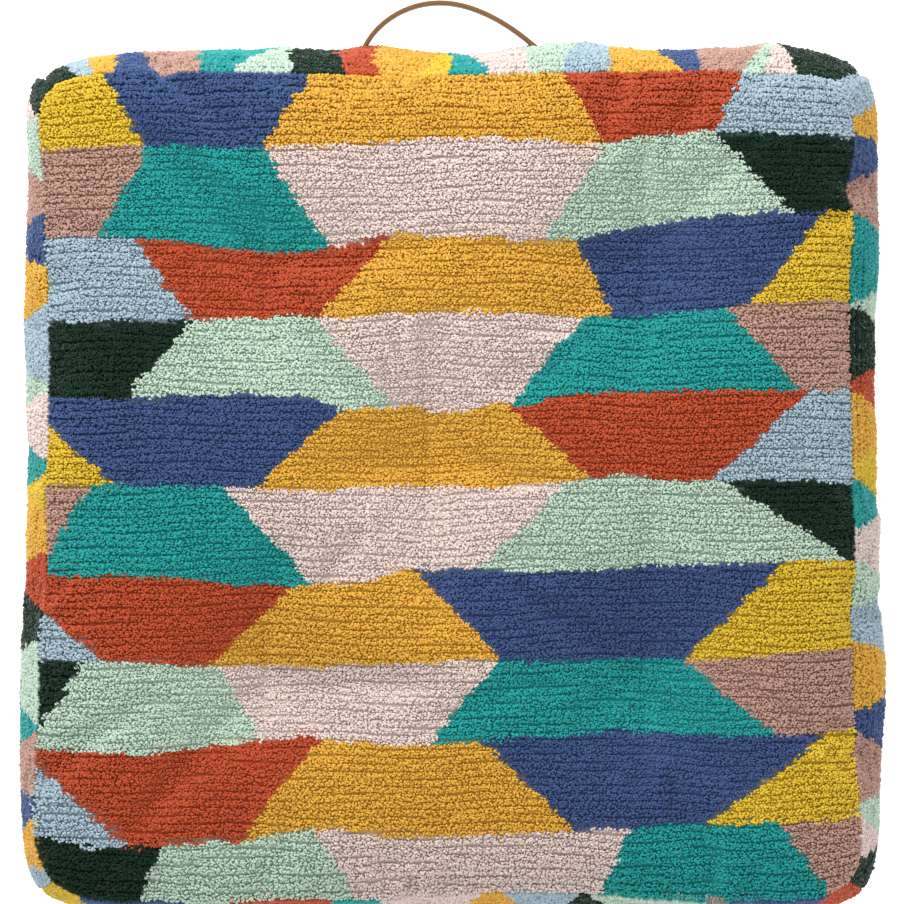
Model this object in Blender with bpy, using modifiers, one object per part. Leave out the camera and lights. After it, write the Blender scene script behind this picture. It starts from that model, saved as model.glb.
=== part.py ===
"""Square boxed floor cushion with a pile cover, a leather strap handle and a zip.

The cushion lies flat on its base: +Z is up through its thickness, +Y points to the side that
carries the handle and -Y to the side that carries the zip. The origin is the middle of the base.
All sizes are in metres.
"""
import math

import bmesh
import bpy
from mathutils import Matrix, Vector

MM = 0.001

# ---- The cushion's form -------------------------------------------------------------------------
SEAM_SPAN = 596 * MM          # the top from seam to seam, in X and in Y
BOXING_HEIGHT = 122 * MM      # from the lower seam to the upper seam
SIDE_BULGE = 17 * MM          # how far a side swells past its seams
TOP_CROWN = 30 * MM           # how far the top's middle stands above its seam
CROWN_POWER = 2.4             # higher makes the top flatter in the middle
BASE_LIFT = 14 * MM           # height of the lower seam above the floor
BASE_FLAT_SHARE = 0.78        # share of the half span over which the base lies flat
CORNER_PULL = 0.020           # share by which the seams' corners are drawn in
CORNER_PINCH = 0.45           # share of the bulge lost at a corner
CORNER_POWER = 14             # higher keeps the corners' rounding closer to the corner

# ---- Thicknesses --------------------------------------------------------------------------------
PILE_THICKNESS = 8 * MM       # pile and its backing cloth
BASE_THICKNESS = 2 * MM       # canvas
CASE_THICKNESS = 3 * MM       # padded cotton of the insert
INSERT_SPACE = 1.5 * MM       # between the innermost fastening and the insert's case
FILLING_SPACE = 4 * MM        # between the case's inner face and the filling

# ---- Clearances ---------------------------------------------------------------------------------
SEAM_GAP = 0.6 * MM           # drawn in from each panel edge at a seam
LAYER_GAP = 0.4 * MM          # between pieces that lie on each other
HOLE_CLEARANCE = 0.6 * MM     # between a hole's wall and what passes through it

# ---- Ties ---------------------------------------------------------------------------------------
TIE_COLUMNS = (-137 * MM, -19 * MM, 138 * MM)     # X of the tie points
TIE_ROWS = (-147 * MM, 12 * MM, 160 * MM)         # Y of the tie points
TIES = {
    "tie_front_left": (0, 0),
    "tie_front_right": (2, 0),
    "tie_middle": (1, 1),
    "tie_back_left": (0, 2),
    "tie_back_right": (2, 2),
}
DIMPLE_DEPTH = 15 * MM        # how far a tie pulls the top in
DIMPLE_RADIUS = 42 * MM
STITCH_HALF_LENGTH = 7 * MM   # half of the stitch that a tie makes over the top, along Y
TWINE_RADIUS = 0.8 * MM
TIE_PATCH_HALF = 9 * MM       # half of the level square round a tie point

# ---- Handle -------------------------------------------------------------------------------------
HANDLE_SPAN = 128 * MM        # between the middles of the strap where it leaves the cover
HANDLE_RISE = 33 * MM         # the strap's middle line above the side's face
HANDLE_PEAK_OFFSET = -9 * MM  # the top of the arch lies a little to the left
STRAP_WIDTH = 25 * MM
STRAP_THICKNESS = 3.2 * MM
STRAP_END_MARGIN = 1.5 * MM   # the strap's rounded end stops this far short of its foot
FOOT_LENGTH = 46 * MM         # the strap's end behind the side strip
BACKING_THICKNESS = 1.5 * MM
BACKING_MARGIN = 6 * MM       # the backing beyond the feet, all round
RIVET_STEPS = (15 * MM, 33 * MM)   # rivets along a foot, from the strap's middle line
RIVET_SHANK_RADIUS = 2 * MM
RIVET_CAP_RADIUS = 5 * MM
RIVET_CAP_HEIGHT = 1.4 * MM
RIVET_CAP_DEPTH = 4.8 * MM    # the cap lies this deep in the pile
RIVET_TAIL_RADIUS = 3.3 * MM
RIVET_TAIL_HEIGHT = 0.8 * MM
BURR_RADIUS = 5 * MM
BURR_THICKNESS = 1.0 * MM

# ---- Zip ----------------------------------------------------------------------------------------
ZIP_TRAVEL = 420 * MM         # how far the slider runs
ZIP_SLOT_HALF = 5.5 * MM      # half of the slot between the two half strips
TAPE_OUTER_HALF = 17 * MM     # from the zip's middle line to a tape's outer edge
TAPE_THICKNESS = 0.8 * MM
COIL_INNER_HALF = 0.7 * MM    # from the zip's middle line to a coil
COIL_HEIGHT = 2.4 * MM
COIL_PROUD = 0.9 * MM         # a coil stands this far past its tape on both faces
SLIDER_LENGTH = 10 * MM
SLIDER_PLATE = 1.2 * MM
SLIDER_CLEARANCE = 0.55 * MM  # between the slider and a coil or a tape
SLIDER_LIP = 0.9 * MM         # thickness of the slider's edges that wrap the coils
BAIL_RADIUS = 0.7 * MM
BAIL_HALF_SPAN = 3.2 * MM
PULL_HALF_WIDTH = 2 * MM
PULL_EYE_RADIUS = 2.5 * MM
PULL_LENGTH = 26 * MM
PULL_THICKNESS = 1.4 * MM
STOP_LENGTH = 3 * MM
STOP_THICKNESS = 1.5 * MM

# ---- Worked out from the sizes above ------------------------------------------------------------
HALF_SPAN = SEAM_SPAN / 2
MID_HEIGHT = BASE_LIFT + BOXING_HEIGHT / 2
SIDE_FACE = HALF_SPAN + SIDE_BULGE                # a side's face at mid height
EDGE_SHARE = 1 - SEAM_GAP / HALF_SPAN
TAPE_DEPTH = PILE_THICKNESS + 2 * LAYER_GAP
COIL_DEPTHS = (TAPE_DEPTH - COIL_PROUD, TAPE_DEPTH + TAPE_THICKNESS + COIL_PROUD)
FOOT_DEPTH = PILE_THICKNESS + LAYER_GAP
BACKING_DEPTH = FOOT_DEPTH + STRAP_THICKNESS + LAYER_GAP
BURR_DEPTH = BACKING_DEPTH + BACKING_THICKNESS + 2 * LAYER_GAP
TAIL_DEPTH = BURR_DEPTH + BURR_THICKNESS + LAYER_GAP
CASE_DEPTH = TAIL_DEPTH + RIVET_TAIL_HEIGHT + INSERT_SPACE    # from the cover's face to the case
PIVOT_STANDOFF = STRAP_WIDTH / 2 + STRAP_END_MARGIN - PILE_THICKNESS   # leaning line to side's face
TIE_SPOTS = {name: (TIE_COLUMNS[i], TIE_ROWS[j]) for name, (i, j) in TIES.items()}
EDGE_SHARES = (0.84, 0.94, 1)                     # grid lines near an edge, by share of the half span
COIL_REACH = (ZIP_TRAVEL / 2 + SLIDER_LENGTH) / HALF_SPAN
SLOT_REACH = COIL_REACH + 2.5 * STOP_LENGTH / HALF_SPAN    # the slot begins to close here
TAPE_REACH = COIL_REACH + 8 * STOP_LENGTH / HALF_SPAN      # and the two half strips meet here
SIDE_COLUMNS = (-1, -0.94, -0.84, -0.6, -0.3, 0, 0.3, 0.6, *EDGE_SHARES)
BASE_LINES = (-1, -0.94, -0.84, -BASE_FLAT_SHARE, 0, BASE_FLAT_SHARE, *EDGE_SHARES)
ZIP_REACHES = (COIL_REACH, SLOT_REACH, TAPE_REACH)
ZIP_COLUMNS = tuple(sorted((*SIDE_COLUMNS, *ZIP_REACHES, *(-share for share in ZIP_REACHES))))


# ---- Scene and materials ------------------------------------------------------------------------
def clear_scene():
    for old in list(bpy.data.objects):
        bpy.data.objects.remove(old, do_unlink=True)


def new_collection(name):
    collection = bpy.data.collections.new(name)
    bpy.context.scene.collection.children.link(collection)
    return collection


def make_material(name, colour, roughness, metallic=0.0):
    material = bpy.data.materials.new(name)
    material.use_nodes = True
    shader = material.node_tree.nodes["Principled BSDF"]
    shader.inputs["Base Color"].default_value = (*colour, 1.0)
    shader.inputs["Roughness"].default_value = roughness
    shader.inputs["Metallic"].default_value = metallic
    return material


clear_scene()
PARTS = new_collection("floor_cushion")
CUTTERS = new_collection("floor_cushion_cutters")
MATERIALS = {
    "mustard_pile": make_material("mustard_pile", (0.74, 0.37, 0.04), 0.95),
    "blue_pile": make_material("blue_pile", (0.07, 0.10, 0.32), 0.95),
    "teal_pile": make_material("teal_pile", (0.01, 0.33, 0.26), 0.95),
    "green_pile": make_material("green_pile", (0.01, 0.04, 0.02), 0.95),
    "orange_pile": make_material("orange_pile", (0.53, 0.08, 0.03), 0.95),
    "canvas": make_material("canvas", (0.62, 0.55, 0.44), 0.9),
    "ticking": make_material("ticking", (0.80, 0.78, 0.72), 0.9),
    "fibre": make_material("fibre", (0.88, 0.87, 0.84), 1.0),
    "leather": make_material("leather", (0.33, 0.15, 0.05), 0.55),
    "webbing": make_material("webbing", (0.60, 0.50, 0.36), 0.85),
    "twine": make_material("twine", (0.70, 0.62, 0.46), 0.8),
    "zip_cloth": make_material("zip_cloth", (0.55, 0.47, 0.35), 0.8),
    "nylon": make_material("nylon", (0.60, 0.52, 0.40), 0.4),
    "brass": make_material("brass", (0.70, 0.50, 0.20), 0.3, 1.0),
}


def link_object(obj, collection, material=None):
    for owner in list(obj.users_collection):
        owner.objects.unlink(obj)
    collection.objects.link(obj)
    if material:
        obj.data.materials.clear()
        obj.data.materials.append(MATERIALS[material])
    return obj


def object_from_bmesh(name, mesh, collection, material=None):
    data = bpy.data.meshes.new(name)
    mesh.to_mesh(data)
    mesh.free()
    return link_object(bpy.data.objects.new(name, data), collection, material)


def hide_cutter(cutter):
    cutter.hide_render = True
    cutter.display_type = "WIRE"
    return cutter


def apply_boolean(target, other, operation="DIFFERENCE"):
    modifier = target.modifiers.new(other.name, "BOOLEAN")
    modifier.object = other
    modifier.operation = operation
    modifier.solver = "EXACT"


# ---- The cushion's form -------------------------------------------------------------------------
def top_height(u, v):
    """Height of the cover's top at the shares u and v of the half span."""
    crown = (1 - abs(u) ** CROWN_POWER) * (1 - abs(v) ** CROWN_POWER)
    height = BASE_LIFT + BOXING_HEIGHT + TOP_CROWN * crown
    for x, y in TIE_SPOTS.values():
        reach = max(0.0, math.hypot(u * HALF_SPAN - x, v * HALF_SPAN - y) - TIE_PATCH_HALF)
        height -= DIMPLE_DEPTH * math.exp(-(reach / DIMPLE_RADIUS) ** 2) * min(1.0, 4 * crown)
    return height


def base_height(u, v):
    """Height of the cover's base: flat in the middle and raised to the lower seam at the edge."""
    climb = max(0.0, (max(abs(u), abs(v)) - BASE_FLAT_SHARE) / (1 - BASE_FLAT_SHARE))
    return BASE_LIFT * climb * climb * (3 - 2 * climb)


def form_point(u, v, rise, depth):
    """Point of the form: u and v run from -1 to 1 across it and rise from 0 to 1 up it."""
    half = HALF_SPAN - depth
    corner = abs(u * v) ** CORNER_POWER
    push = Vector((math.copysign(abs(u) ** CORNER_POWER, u), math.copysign(abs(v) ** CORNER_POWER, v)))
    if push.length > 1:
        push.normalize()
    push *= SIDE_BULGE * math.sin(math.pi * rise) * (1 - CORNER_PINCH * corner)
    low = base_height(u, v) + depth
    high = top_height(u, v) - depth
    drawn_in = half * (1 - CORNER_PULL * corner)
    return Vector((drawn_in * u + push.x, drawn_in * v + push.y, low + (high - low) * rise))


def rise_at(offset, depth):
    """Share of the boxing's height at a distance above or below its middle line."""
    return 0.5 + offset / (BOXING_HEIGHT - 2 * depth)


def line_value(lines, position):
    """Value of the grid line that a vertex of the -1..1 cube belongs to."""
    return lines[round((position + 1) / 2 * (len(lines) - 1))]


def gridded_block(name, lines, place, material):
    """Closed block with grid lines along its three axes, each vertex set down by place()."""
    mesh = bmesh.new()
    bmesh.ops.create_cube(mesh, size=2.0)
    for axis in range(3):
        if len(lines[axis]) > 2:
            along = [e for e in mesh.edges if abs(e.verts[0].co[axis] - e.verts[1].co[axis]) > 1]
            bmesh.ops.subdivide_edges(mesh, edges=along, cuts=len(lines[axis]) - 2,
                                      use_grid_fill=True)
    for vert in mesh.verts:
        vert.co = place(*(line_value(lines[axis], vert.co[axis]) for axis in range(3)))
    if mesh.calc_volume(signed=True) < 0:
        bmesh.ops.reverse_faces(mesh, faces=mesh.faces)
    return object_from_bmesh(name, mesh, PARTS, material)


def face_lines(spots):
    """Shares of the half span for a large face: closer at the edges and round the tie points."""
    offsets = (-DIMPLE_RADIUS, -TIE_PATCH_HALF, TIE_PATCH_HALF, DIMPLE_RADIUS)
    inner = [(spot + offset) / HALF_SPAN for spot in spots for offset in offsets]
    return sorted([-share for share in EDGE_SHARES] + inner + list(EDGE_SHARES))


def top_layer(name, outer, thickness, material):
    """A layer of the top, at a depth below the cover's outer face."""
    lines = (face_lines(TIE_COLUMNS), face_lines(TIE_ROWS), (outer + thickness, outer))
    return gridded_block(name, lines, lambda u, v, depth: form_point(
        u * EDGE_SHARE, v * EDGE_SHARE, 1.0, depth), material)


def base_layer(name, outer, thickness, material, columns=BASE_LINES, rows=BASE_LINES):
    """A layer of the base, at a depth above the cover's outer face."""
    return gridded_block(name, (columns, rows, (outer, outer + thickness)),
                         lambda u, v, depth: form_point(
                             u * EDGE_SHARE, v * EDGE_SHARE, 0.0, depth), material)


def side_layer(name, side, rises, outer, thickness, material, columns=SIDE_COLUMNS, meets_from=2):
    """A layer of one side, between the first and the last of its rises.

    Past the share meets_from, its edge nearest the side's middle line runs up to that line.
    """
    edge = min(rises, key=lambda rise: abs(rise - 0.5))

    def place(along, rise, depth):
        if rise == edge and abs(along) >= meets_from:
            rise = rise_at(math.copysign(SEAM_GAP / 2, edge - 0.5), depth)
        spots = {"back": (along, 1), "front": (along, -1), "left": (-1, along), "right": (1, along)}
        return form_point(*spots[side], rise, depth)

    drawn_in = tuple(column * EDGE_SHARE if abs(column) == 1 else column for column in columns)
    return gridded_block(name, (drawn_in, rises, (outer + thickness, outer)), place, material)


# ---- Small pieces -------------------------------------------------------------------------------
def flat_outline(name, outlines, half_thickness, collection, material, placing):
    """Mesh of a flat outline, with any further outlines as holes, given a thickness both ways."""
    curve = bpy.data.curves.new(name, "CURVE")
    curve.dimensions = "2D"
    curve.fill_mode = "BOTH"
    curve.extrude = half_thickness
    for outline in outlines:
        spline = curve.splines.new("POLY")
        spline.points.add(len(outline) - 1)
        for point, (x, y) in zip(spline.points, outline):
            point.co = (x, y, 0.0, 1.0)
        spline.use_cyclic_u = True
    return mesh_of_curve(name, curve, collection, material, placing)


def wire(name, points, radius, cyclic, collection, material, placing):
    """Mesh of a round wire along points."""
    curve = bpy.data.curves.new(name, "CURVE")
    curve.dimensions = "3D"
    curve.bevel_depth = radius
    curve.bevel_resolution = 2
    curve.use_fill_caps = not cyclic
    spline = curve.splines.new("POLY")
    spline.points.add(len(points) - 1)
    for spline_point, point in zip(spline.points, points):
        spline_point.co = (*point, 1.0)
    spline.use_cyclic_u = cyclic
    return mesh_of_curve(name, curve, collection, material, placing)


def mesh_of_curve(name, curve, collection, material, placing):
    """The curve as a mesh object with its caps welded on."""
    carrier = link_object(bpy.data.objects.new(name + "_curve", curve), collection)
    depsgraph = bpy.context.evaluated_depsgraph_get()
    data = bpy.data.meshes.new_from_object(carrier.evaluated_get(depsgraph))
    bpy.data.objects.remove(carrier, do_unlink=True)
    mesh = bmesh.new()
    mesh.from_mesh(data)
    bpy.data.meshes.remove(data)
    bmesh.ops.remove_doubles(mesh, verts=mesh.verts, dist=0.01 * MM)
    bmesh.ops.recalc_face_normals(mesh, faces=mesh.faces)
    obj = object_from_bmesh(name, mesh, collection, material)
    obj.matrix_world = placing
    return obj


def turned(name, profile, closed, material, placing):
    """Solid turned about local Z from (radius, height) points running down its outer side."""
    mesh = bmesh.new()
    verts = [mesh.verts.new((radius, 0.0, height)) for radius, height in profile]
    for first, second in zip(verts, verts[1:] + verts[:1] if closed else verts[1:]):
        mesh.edges.new((first, second))
    obj = object_from_bmesh(name, mesh, PARTS, material)
    screw = obj.modifiers.new("turn", "SCREW")
    screw.steps = 16
    screw.render_steps = 16
    screw.use_merge_vertices = True
    screw.merge_threshold = 0.01 * MM
    obj.matrix_world = placing
    return obj


def rods(name, spots, radius, low, high, placing):
    """Cutter: one rod for each (x, y) spot, along local Z from low to high."""
    mesh = bmesh.new()
    for x, y in spots:
        centre = Matrix.Translation((x, y, (low + high) / 2))
        bmesh.ops.create_cone(mesh, cap_ends=True, segments=10, radius1=radius, radius2=radius,
                              depth=high - low, matrix=centre)
    cutter = hide_cutter(object_from_bmesh(name, mesh, CUTTERS))
    cutter.matrix_world = placing
    return cutter


def box(name, low, high, collection, material=None):
    """Box between two corners."""
    mesh = bmesh.new()
    bmesh.ops.create_cube(mesh, size=1.0)
    size = Vector(high) - Vector(low)
    middle = (Vector(high) + Vector(low)) / 2
    for vert in mesh.verts:
        vert.co = middle + Vector(vert.co[i] * size[i] for i in range(3))
    return object_from_bmesh(name, mesh, collection, material)


def arc(centre, radius, start, end, steps):
    """Points of an arc in a plane, angles in degrees."""
    angles = [math.radians(start + (end - start) * i / steps) for i in range(steps + 1)]
    return [(centre[0] + radius * math.cos(a), centre[1] + radius * math.sin(a)) for a in angles]


def bezier(p0, p1, p2, p3, steps):
    """Points of a cubic curve, from its start up to but not including its end."""
    points = []
    for i in range(steps):
        t = i / steps
        weights = ((1 - t) ** 3, 3 * t * (1 - t) ** 2, 3 * t * t * (1 - t), t ** 3)
        points.append(tuple(sum(w * p[k] for w, p in zip(weights, (p0, p1, p2, p3))) for k in range(2)))
    return points


# ---- Cover, insert and filling ------------------------------------------------------------------
def make_cover():
    """The pile top and sides and the canvas base."""
    top = top_layer("top_panel", 0.0, PILE_THICKNESS, "mustard_pile")
    base = base_layer("base_panel", 0.0, BASE_THICKNESS, "canvas")
    foot_rise = rise_at(STRAP_WIDTH / 2, FOOT_DEPTH)
    backing_rise = rise_at(STRAP_WIDTH / 2 + BACKING_MARGIN, BACKING_DEPTH)
    rises = (0, 0.2, 1 - backing_rise, 1 - foot_rise, 0.5, foot_rise, backing_rise, 0.8, 1)
    back = side_layer("handle_side_panel", "back", rises, 0.0, PILE_THICKNESS, "blue_pile")
    plain_rises = (0, 0.16, 0.33, 0.5, 0.67, 0.84, 1)
    side_layer("left_side_panel", "left", plain_rises, 0.0, PILE_THICKNESS, "teal_pile")
    side_layer("right_side_panel", "right", plain_rises, 0.0, PILE_THICKNESS, "orange_pile")
    slot_rise = rise_at(ZIP_SLOT_HALF, TAPE_DEPTH)
    tape_rise = rise_at(TAPE_OUTER_HALF, TAPE_DEPTH)
    side_layer("zip_side_upper_panel", "front", (slot_rise, tape_rise, 0.82, 1), 0.0,
               PILE_THICKNESS, "green_pile", ZIP_COLUMNS, TAPE_REACH)
    side_layer("zip_side_lower_panel", "front", (0, 0.18, 1 - tape_rise, 1 - slot_rise), 0.0,
               PILE_THICKNESS, "mustard_pile", ZIP_COLUMNS, TAPE_REACH)
    return top, base, back


def make_insert():
    """The insert's cotton case, panel by panel, and its filling."""
    top = top_layer("inner_case_top", CASE_DEPTH, CASE_THICKNESS, "ticking")
    flat = [-BASE_FLAT_SHARE, BASE_FLAT_SHARE]
    base = base_layer("inner_case_base", CASE_DEPTH, CASE_THICKNESS, "ticking",
                      sorted(face_lines(TIE_COLUMNS) + flat), sorted(face_lines(TIE_ROWS) + flat))
    for side in ("left", "right", "back", "front"):
        side_layer("inner_case_" + side, side, (0, 0.25, 0.5, 0.75, 1), CASE_DEPTH, CASE_THICKNESS,
                   "ticking")
    depth = CASE_DEPTH + CASE_THICKNESS + FILLING_SPACE
    lines = (face_lines(TIE_COLUMNS), face_lines(TIE_ROWS), (0, 0.25, 0.5, 0.75, 1))
    filling = gridded_block("filling", lines,
                            lambda u, v, rise: form_point(u, v, rise, depth), "fibre")
    return top, base, filling


def make_ties(pierced):
    """A loop of twine at each tie point, and the holes that it passes through."""
    low = CASE_DEPTH - LAYER_GAP - TWINE_RADIUS
    for name, (x, y) in TIE_SPOTS.items():
        patch = [(x + i * TIE_PATCH_HALF, y + j * TIE_PATCH_HALF) for i in (-1, 1) for j in (-1, 1)]
        high = max(top_height(px / HALF_SPAN, py / HALF_SPAN) for px, py in patch)
        high += LAYER_GAP + TWINE_RADIUS
        turn = 2 * TWINE_RADIUS
        inset = STITCH_HALF_LENGTH - turn
        path = (arc((inset, high - turn), turn, 0, 90, 2) + arc((-inset, high - turn), turn, 90, 180, 2)
                + arc((-inset, low + turn), turn, 180, 270, 2) + arc((inset, low + turn), turn, 270, 360, 2))
        loop = [(px, 0.0, pz) for px, pz in path]
        placing = Matrix.Translation((x, y, 0.0)) @ Matrix.Rotation(math.radians(90), 4, "Z")
        wire(name, loop, TWINE_RADIUS, True, PARTS, "twine", placing)
    holes = [(x, y + step) for x, y in TIE_SPOTS.values()
             for step in (-STITCH_HALF_LENGTH, STITCH_HALF_LENGTH)]
    over_all = 2 * BASE_LIFT + BOXING_HEIGHT + TOP_CROWN
    cutter = rods("tie_holes", holes, TWINE_RADIUS + HOLE_CLEARANCE, CASE_DEPTH / 2, over_all,
                  Matrix.Identity(4))
    for piece in pierced:
        apply_boolean(piece, cutter)


# ---- Handle -------------------------------------------------------------------------------------
def strap_outline():
    """Edge-on outline of the strap about the middle of the line that it leans about."""
    half = HANDLE_SPAN / 2
    rise = HANDLE_RISE - PIVOT_STANDOFF
    start = -STRAP_WIDTH / 2
    line = [(-half, start)]
    line += bezier((-half, 0.0), (-half, 0.3 * rise), (HANDLE_PEAK_OFFSET - 0.42 * half, rise),
                   (HANDLE_PEAK_OFFSET, rise), 12)
    line += bezier((HANDLE_PEAK_OFFSET, rise), (HANDLE_PEAK_OFFSET + 0.42 * half, rise),
                   (half, 0.45 * rise), (half, 0.0), 12)
    line += [(half, 0.0), (half, start)]
    outer, inner = [], []
    for i, (x, y) in enumerate(line):
        before = line[max(i - 1, 0)]
        after = line[min(i + 1, len(line) - 1)]
        along = Vector((after[0] - before[0], after[1] - before[1])).normalized()
        across = Vector((-along.y, along.x)) * STRAP_THICKNESS / 2
        outer.append((x + across.x, y + across.y))
        inner.append((x - across.x, y - across.y))
    return outer + inner[::-1]


def make_strap():
    """The leather strap outside the cover, its ends rounded about the line that it leans about."""
    placing = Matrix.Translation((0.0, SIDE_FACE + PIVOT_STANDOFF, MID_HEIGHT))
    strap = flat_outline("handle_strap", [strap_outline()], STRAP_WIDTH / 2, PARTS, "leather", placing)
    mesh = bmesh.new()
    mesh.from_mesh(strap.data)
    end = -STRAP_WIDTH / 2 + 0.1 * MM
    corners = [e for e in mesh.edges if all(v.co.y < end for v in e.verts)
               and abs(e.verts[0].co.z - e.verts[1].co.z) < 0.1 * MM]
    bmesh.ops.bevel(mesh, geom=corners, offset=STRAP_WIDTH / 2 - 0.2 * MM, offset_type="OFFSET",
                    segments=6, profile=0.5, affect="EDGES", clamp_overlap=False)
    mesh.to_mesh(strap.data)
    mesh.free()


def make_handle(side_panel):
    """The strap, its ends inside the cover and what fastens them."""
    make_strap()
    half = HANDLE_SPAN / 2
    face = Matrix.Translation((0.0, SIDE_FACE, MID_HEIGHT)) @ Matrix.Rotation(math.radians(-90), 4, "X")
    slot_half = STRAP_THICKNESS / 2 + HOLE_CLEARANCE
    slot_reach = STRAP_WIDTH / 2 + HOLE_CLEARANCE
    for side, sign in (("left", -1), ("right", 1)):
        slot = box("slot_" + side,
                   (sign * half - slot_half, SIDE_FACE - 2 * PILE_THICKNESS, MID_HEIGHT - slot_reach),
                   (sign * half + slot_half, SIDE_FACE + PILE_THICKNESS, MID_HEIGHT + slot_reach), CUTTERS)
        apply_boolean(side_panel, hide_cutter(slot))
    rivets = [sign * (half + step) for sign in (-1, 1) for step in RIVET_STEPS]
    spots = [(x, 0.0) for x in rivets]
    wide = rods("rivet_cap_holes", spots, RIVET_CAP_RADIUS + HOLE_CLEARANCE,
                -RIVET_CAP_DEPTH - RIVET_CAP_HEIGHT - LAYER_GAP, PILE_THICKNESS, face)
    narrow = rods("rivet_shank_holes", spots, RIVET_SHANK_RADIUS + HOLE_CLEARANCE,
                  -CASE_DEPTH, PILE_THICKNESS, face)
    apply_boolean(side_panel, wide)
    apply_boolean(side_panel, narrow)

    foot_rise = rise_at(STRAP_WIDTH / 2, FOOT_DEPTH)
    backing_rise = rise_at(STRAP_WIDTH / 2 + BACKING_MARGIN, BACKING_DEPTH)
    near = (half - STRAP_THICKNESS / 2) / HALF_SPAN
    far = (half + FOOT_LENGTH) / HALF_SPAN
    beyond = far + BACKING_MARGIN / HALF_SPAN
    for side, columns in (("left", (-far, -0.3, -near)), ("right", (near, 0.3, far))):
        foot = side_layer("handle_foot_" + side, "back", (1 - foot_rise, 0.5, foot_rise), FOOT_DEPTH,
                          STRAP_THICKNESS, "leather", columns)
        apply_boolean(foot, narrow)
    backing = side_layer("handle_backing", "back",
                         (1 - backing_rise, 1 - foot_rise, 0.5, foot_rise, backing_rise),
                         BACKING_DEPTH, BACKING_THICKNESS, "webbing", (-beyond, -0.3, 0, 0.3, beyond))
    apply_boolean(backing, narrow)

    cap_top = -RIVET_CAP_DEPTH
    cap_low = cap_top - RIVET_CAP_HEIGHT
    tail_top = -TAIL_DEPTH
    tail_low = tail_top - RIVET_TAIL_HEIGHT
    rivet_profile = ((0.0, cap_top), (0.7 * RIVET_CAP_RADIUS, cap_top - 0.1 * RIVET_CAP_HEIGHT),
                     (RIVET_CAP_RADIUS, cap_top - 0.6 * RIVET_CAP_HEIGHT), (RIVET_CAP_RADIUS, cap_low),
                     (RIVET_SHANK_RADIUS, cap_low), (RIVET_SHANK_RADIUS, tail_top),
                     (RIVET_TAIL_RADIUS, tail_top), (RIVET_TAIL_RADIUS, tail_low), (0.0, tail_low))
    hole = RIVET_SHANK_RADIUS + HOLE_CLEARANCE
    burr_profile = ((hole, -BURR_DEPTH), (BURR_RADIUS, -BURR_DEPTH),
                    (BURR_RADIUS, -BURR_DEPTH - BURR_THICKNESS), (hole, -BURR_DEPTH - BURR_THICKNESS))
    names = ("left_outer", "left_inner", "right_inner", "right_outer")
    for name, x in zip(names, sorted(rivets)):
        placing = face @ Matrix.Translation((x, 0.0, 0.0))
        turned("handle_rivet_" + name, rivet_profile, False, "brass", placing)
        turned("handle_burr_" + name, burr_profile, True, "brass", placing)


# ---- Zip ----------------------------------------------------------------------------------------
def zip_face(x):
    """Placing on the zip's side: local X points out of the cover, Y up, with its face at zero."""
    turn = Matrix(((0, 0, -1, 0), (-1, 0, 0, 0), (0, 1, 0, 0), (0, 0, 0, 1)))
    return Matrix.Translation((x, -SIDE_FACE, MID_HEIGHT)) @ turn


def make_zip_tapes():
    """Two tapes, each with a coil along its inner edge, and a stop past each end of the coils."""
    coil_outer = COIL_INNER_HALF + COIL_HEIGHT
    tape_inner = rise_at(coil_outer + LAYER_GAP, TAPE_DEPTH)
    slot_rise = rise_at(ZIP_SLOT_HALF, TAPE_DEPTH)
    tape_outer = rise_at(TAPE_OUTER_HALF, TAPE_DEPTH)
    coil_rises = (rise_at(COIL_INNER_HALF, COIL_DEPTHS[0]), rise_at(coil_outer, COIL_DEPTHS[0]))
    tape_columns = [share for share in ZIP_COLUMNS if abs(share) <= TAPE_REACH]
    coil_columns = [share for share in ZIP_COLUMNS if abs(share) <= COIL_REACH]
    rises = {"upper": ((tape_inner, slot_rise, tape_outer), coil_rises),
             "lower": ((1 - tape_outer, 1 - slot_rise, 1 - tape_inner), (1 - coil_rises[1], 1 - coil_rises[0]))}
    for half, (tape_rises, bead_rises) in rises.items():
        side_layer("zip_tape_" + half, "front", tape_rises, TAPE_DEPTH, TAPE_THICKNESS, "zip_cloth",
                   tape_columns, SLOT_REACH)
        side_layer("zip_coil_" + half, "front", bead_rises, COIL_DEPTHS[0],
                   COIL_DEPTHS[1] - COIL_DEPTHS[0], "nylon", coil_columns)
    front = -SIDE_FACE + TAPE_DEPTH - 2 * LAYER_GAP
    for name, sign in (("zip_stop_open", -1), ("zip_stop_closed", 1)):
        middle = sign * (COIL_REACH * HALF_SPAN + STOP_LENGTH)
        stop = box(name, (middle - STOP_LENGTH / 2, front - STOP_THICKNESS, MID_HEIGHT - coil_outer - 1 * MM),
                   (middle + STOP_LENGTH / 2, front, MID_HEIGHT + coil_outer + 1 * MM), PARTS, "brass")
        rounding = stop.modifiers.new("rounding", "BEVEL")
        rounding.width = 0.4 * MM
        rounding.segments = 2


def slider_outline():
    """Cross-section of the slider: two plates joined by a web, with lips that wrap the coils."""
    web = COIL_INNER_HALF - LAYER_GAP
    lip_inner = COIL_INNER_HALF + COIL_HEIGHT + SLIDER_CLEARANCE
    lip_outer = lip_inner + SLIDER_LIP
    front = -COIL_DEPTHS[0] + SLIDER_CLEARANCE
    back = -COIL_DEPTHS[1] - SLIDER_CLEARANCE
    tape_front = -TAPE_DEPTH + SLIDER_CLEARANCE
    tape_back = -TAPE_DEPTH - TAPE_THICKNESS - SLIDER_CLEARANCE
    upper = [(front + SLIDER_PLATE, lip_outer), (tape_front, lip_outer), (tape_front, lip_inner),
             (front, lip_inner), (front, web), (back, web), (back, lip_inner), (tape_back, lip_inner),
             (tape_back, lip_outer), (back - SLIDER_PLATE, lip_outer)]
    return upper + [(x, -y) for x, y in reversed(upper)], front + SLIDER_PLATE


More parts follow.
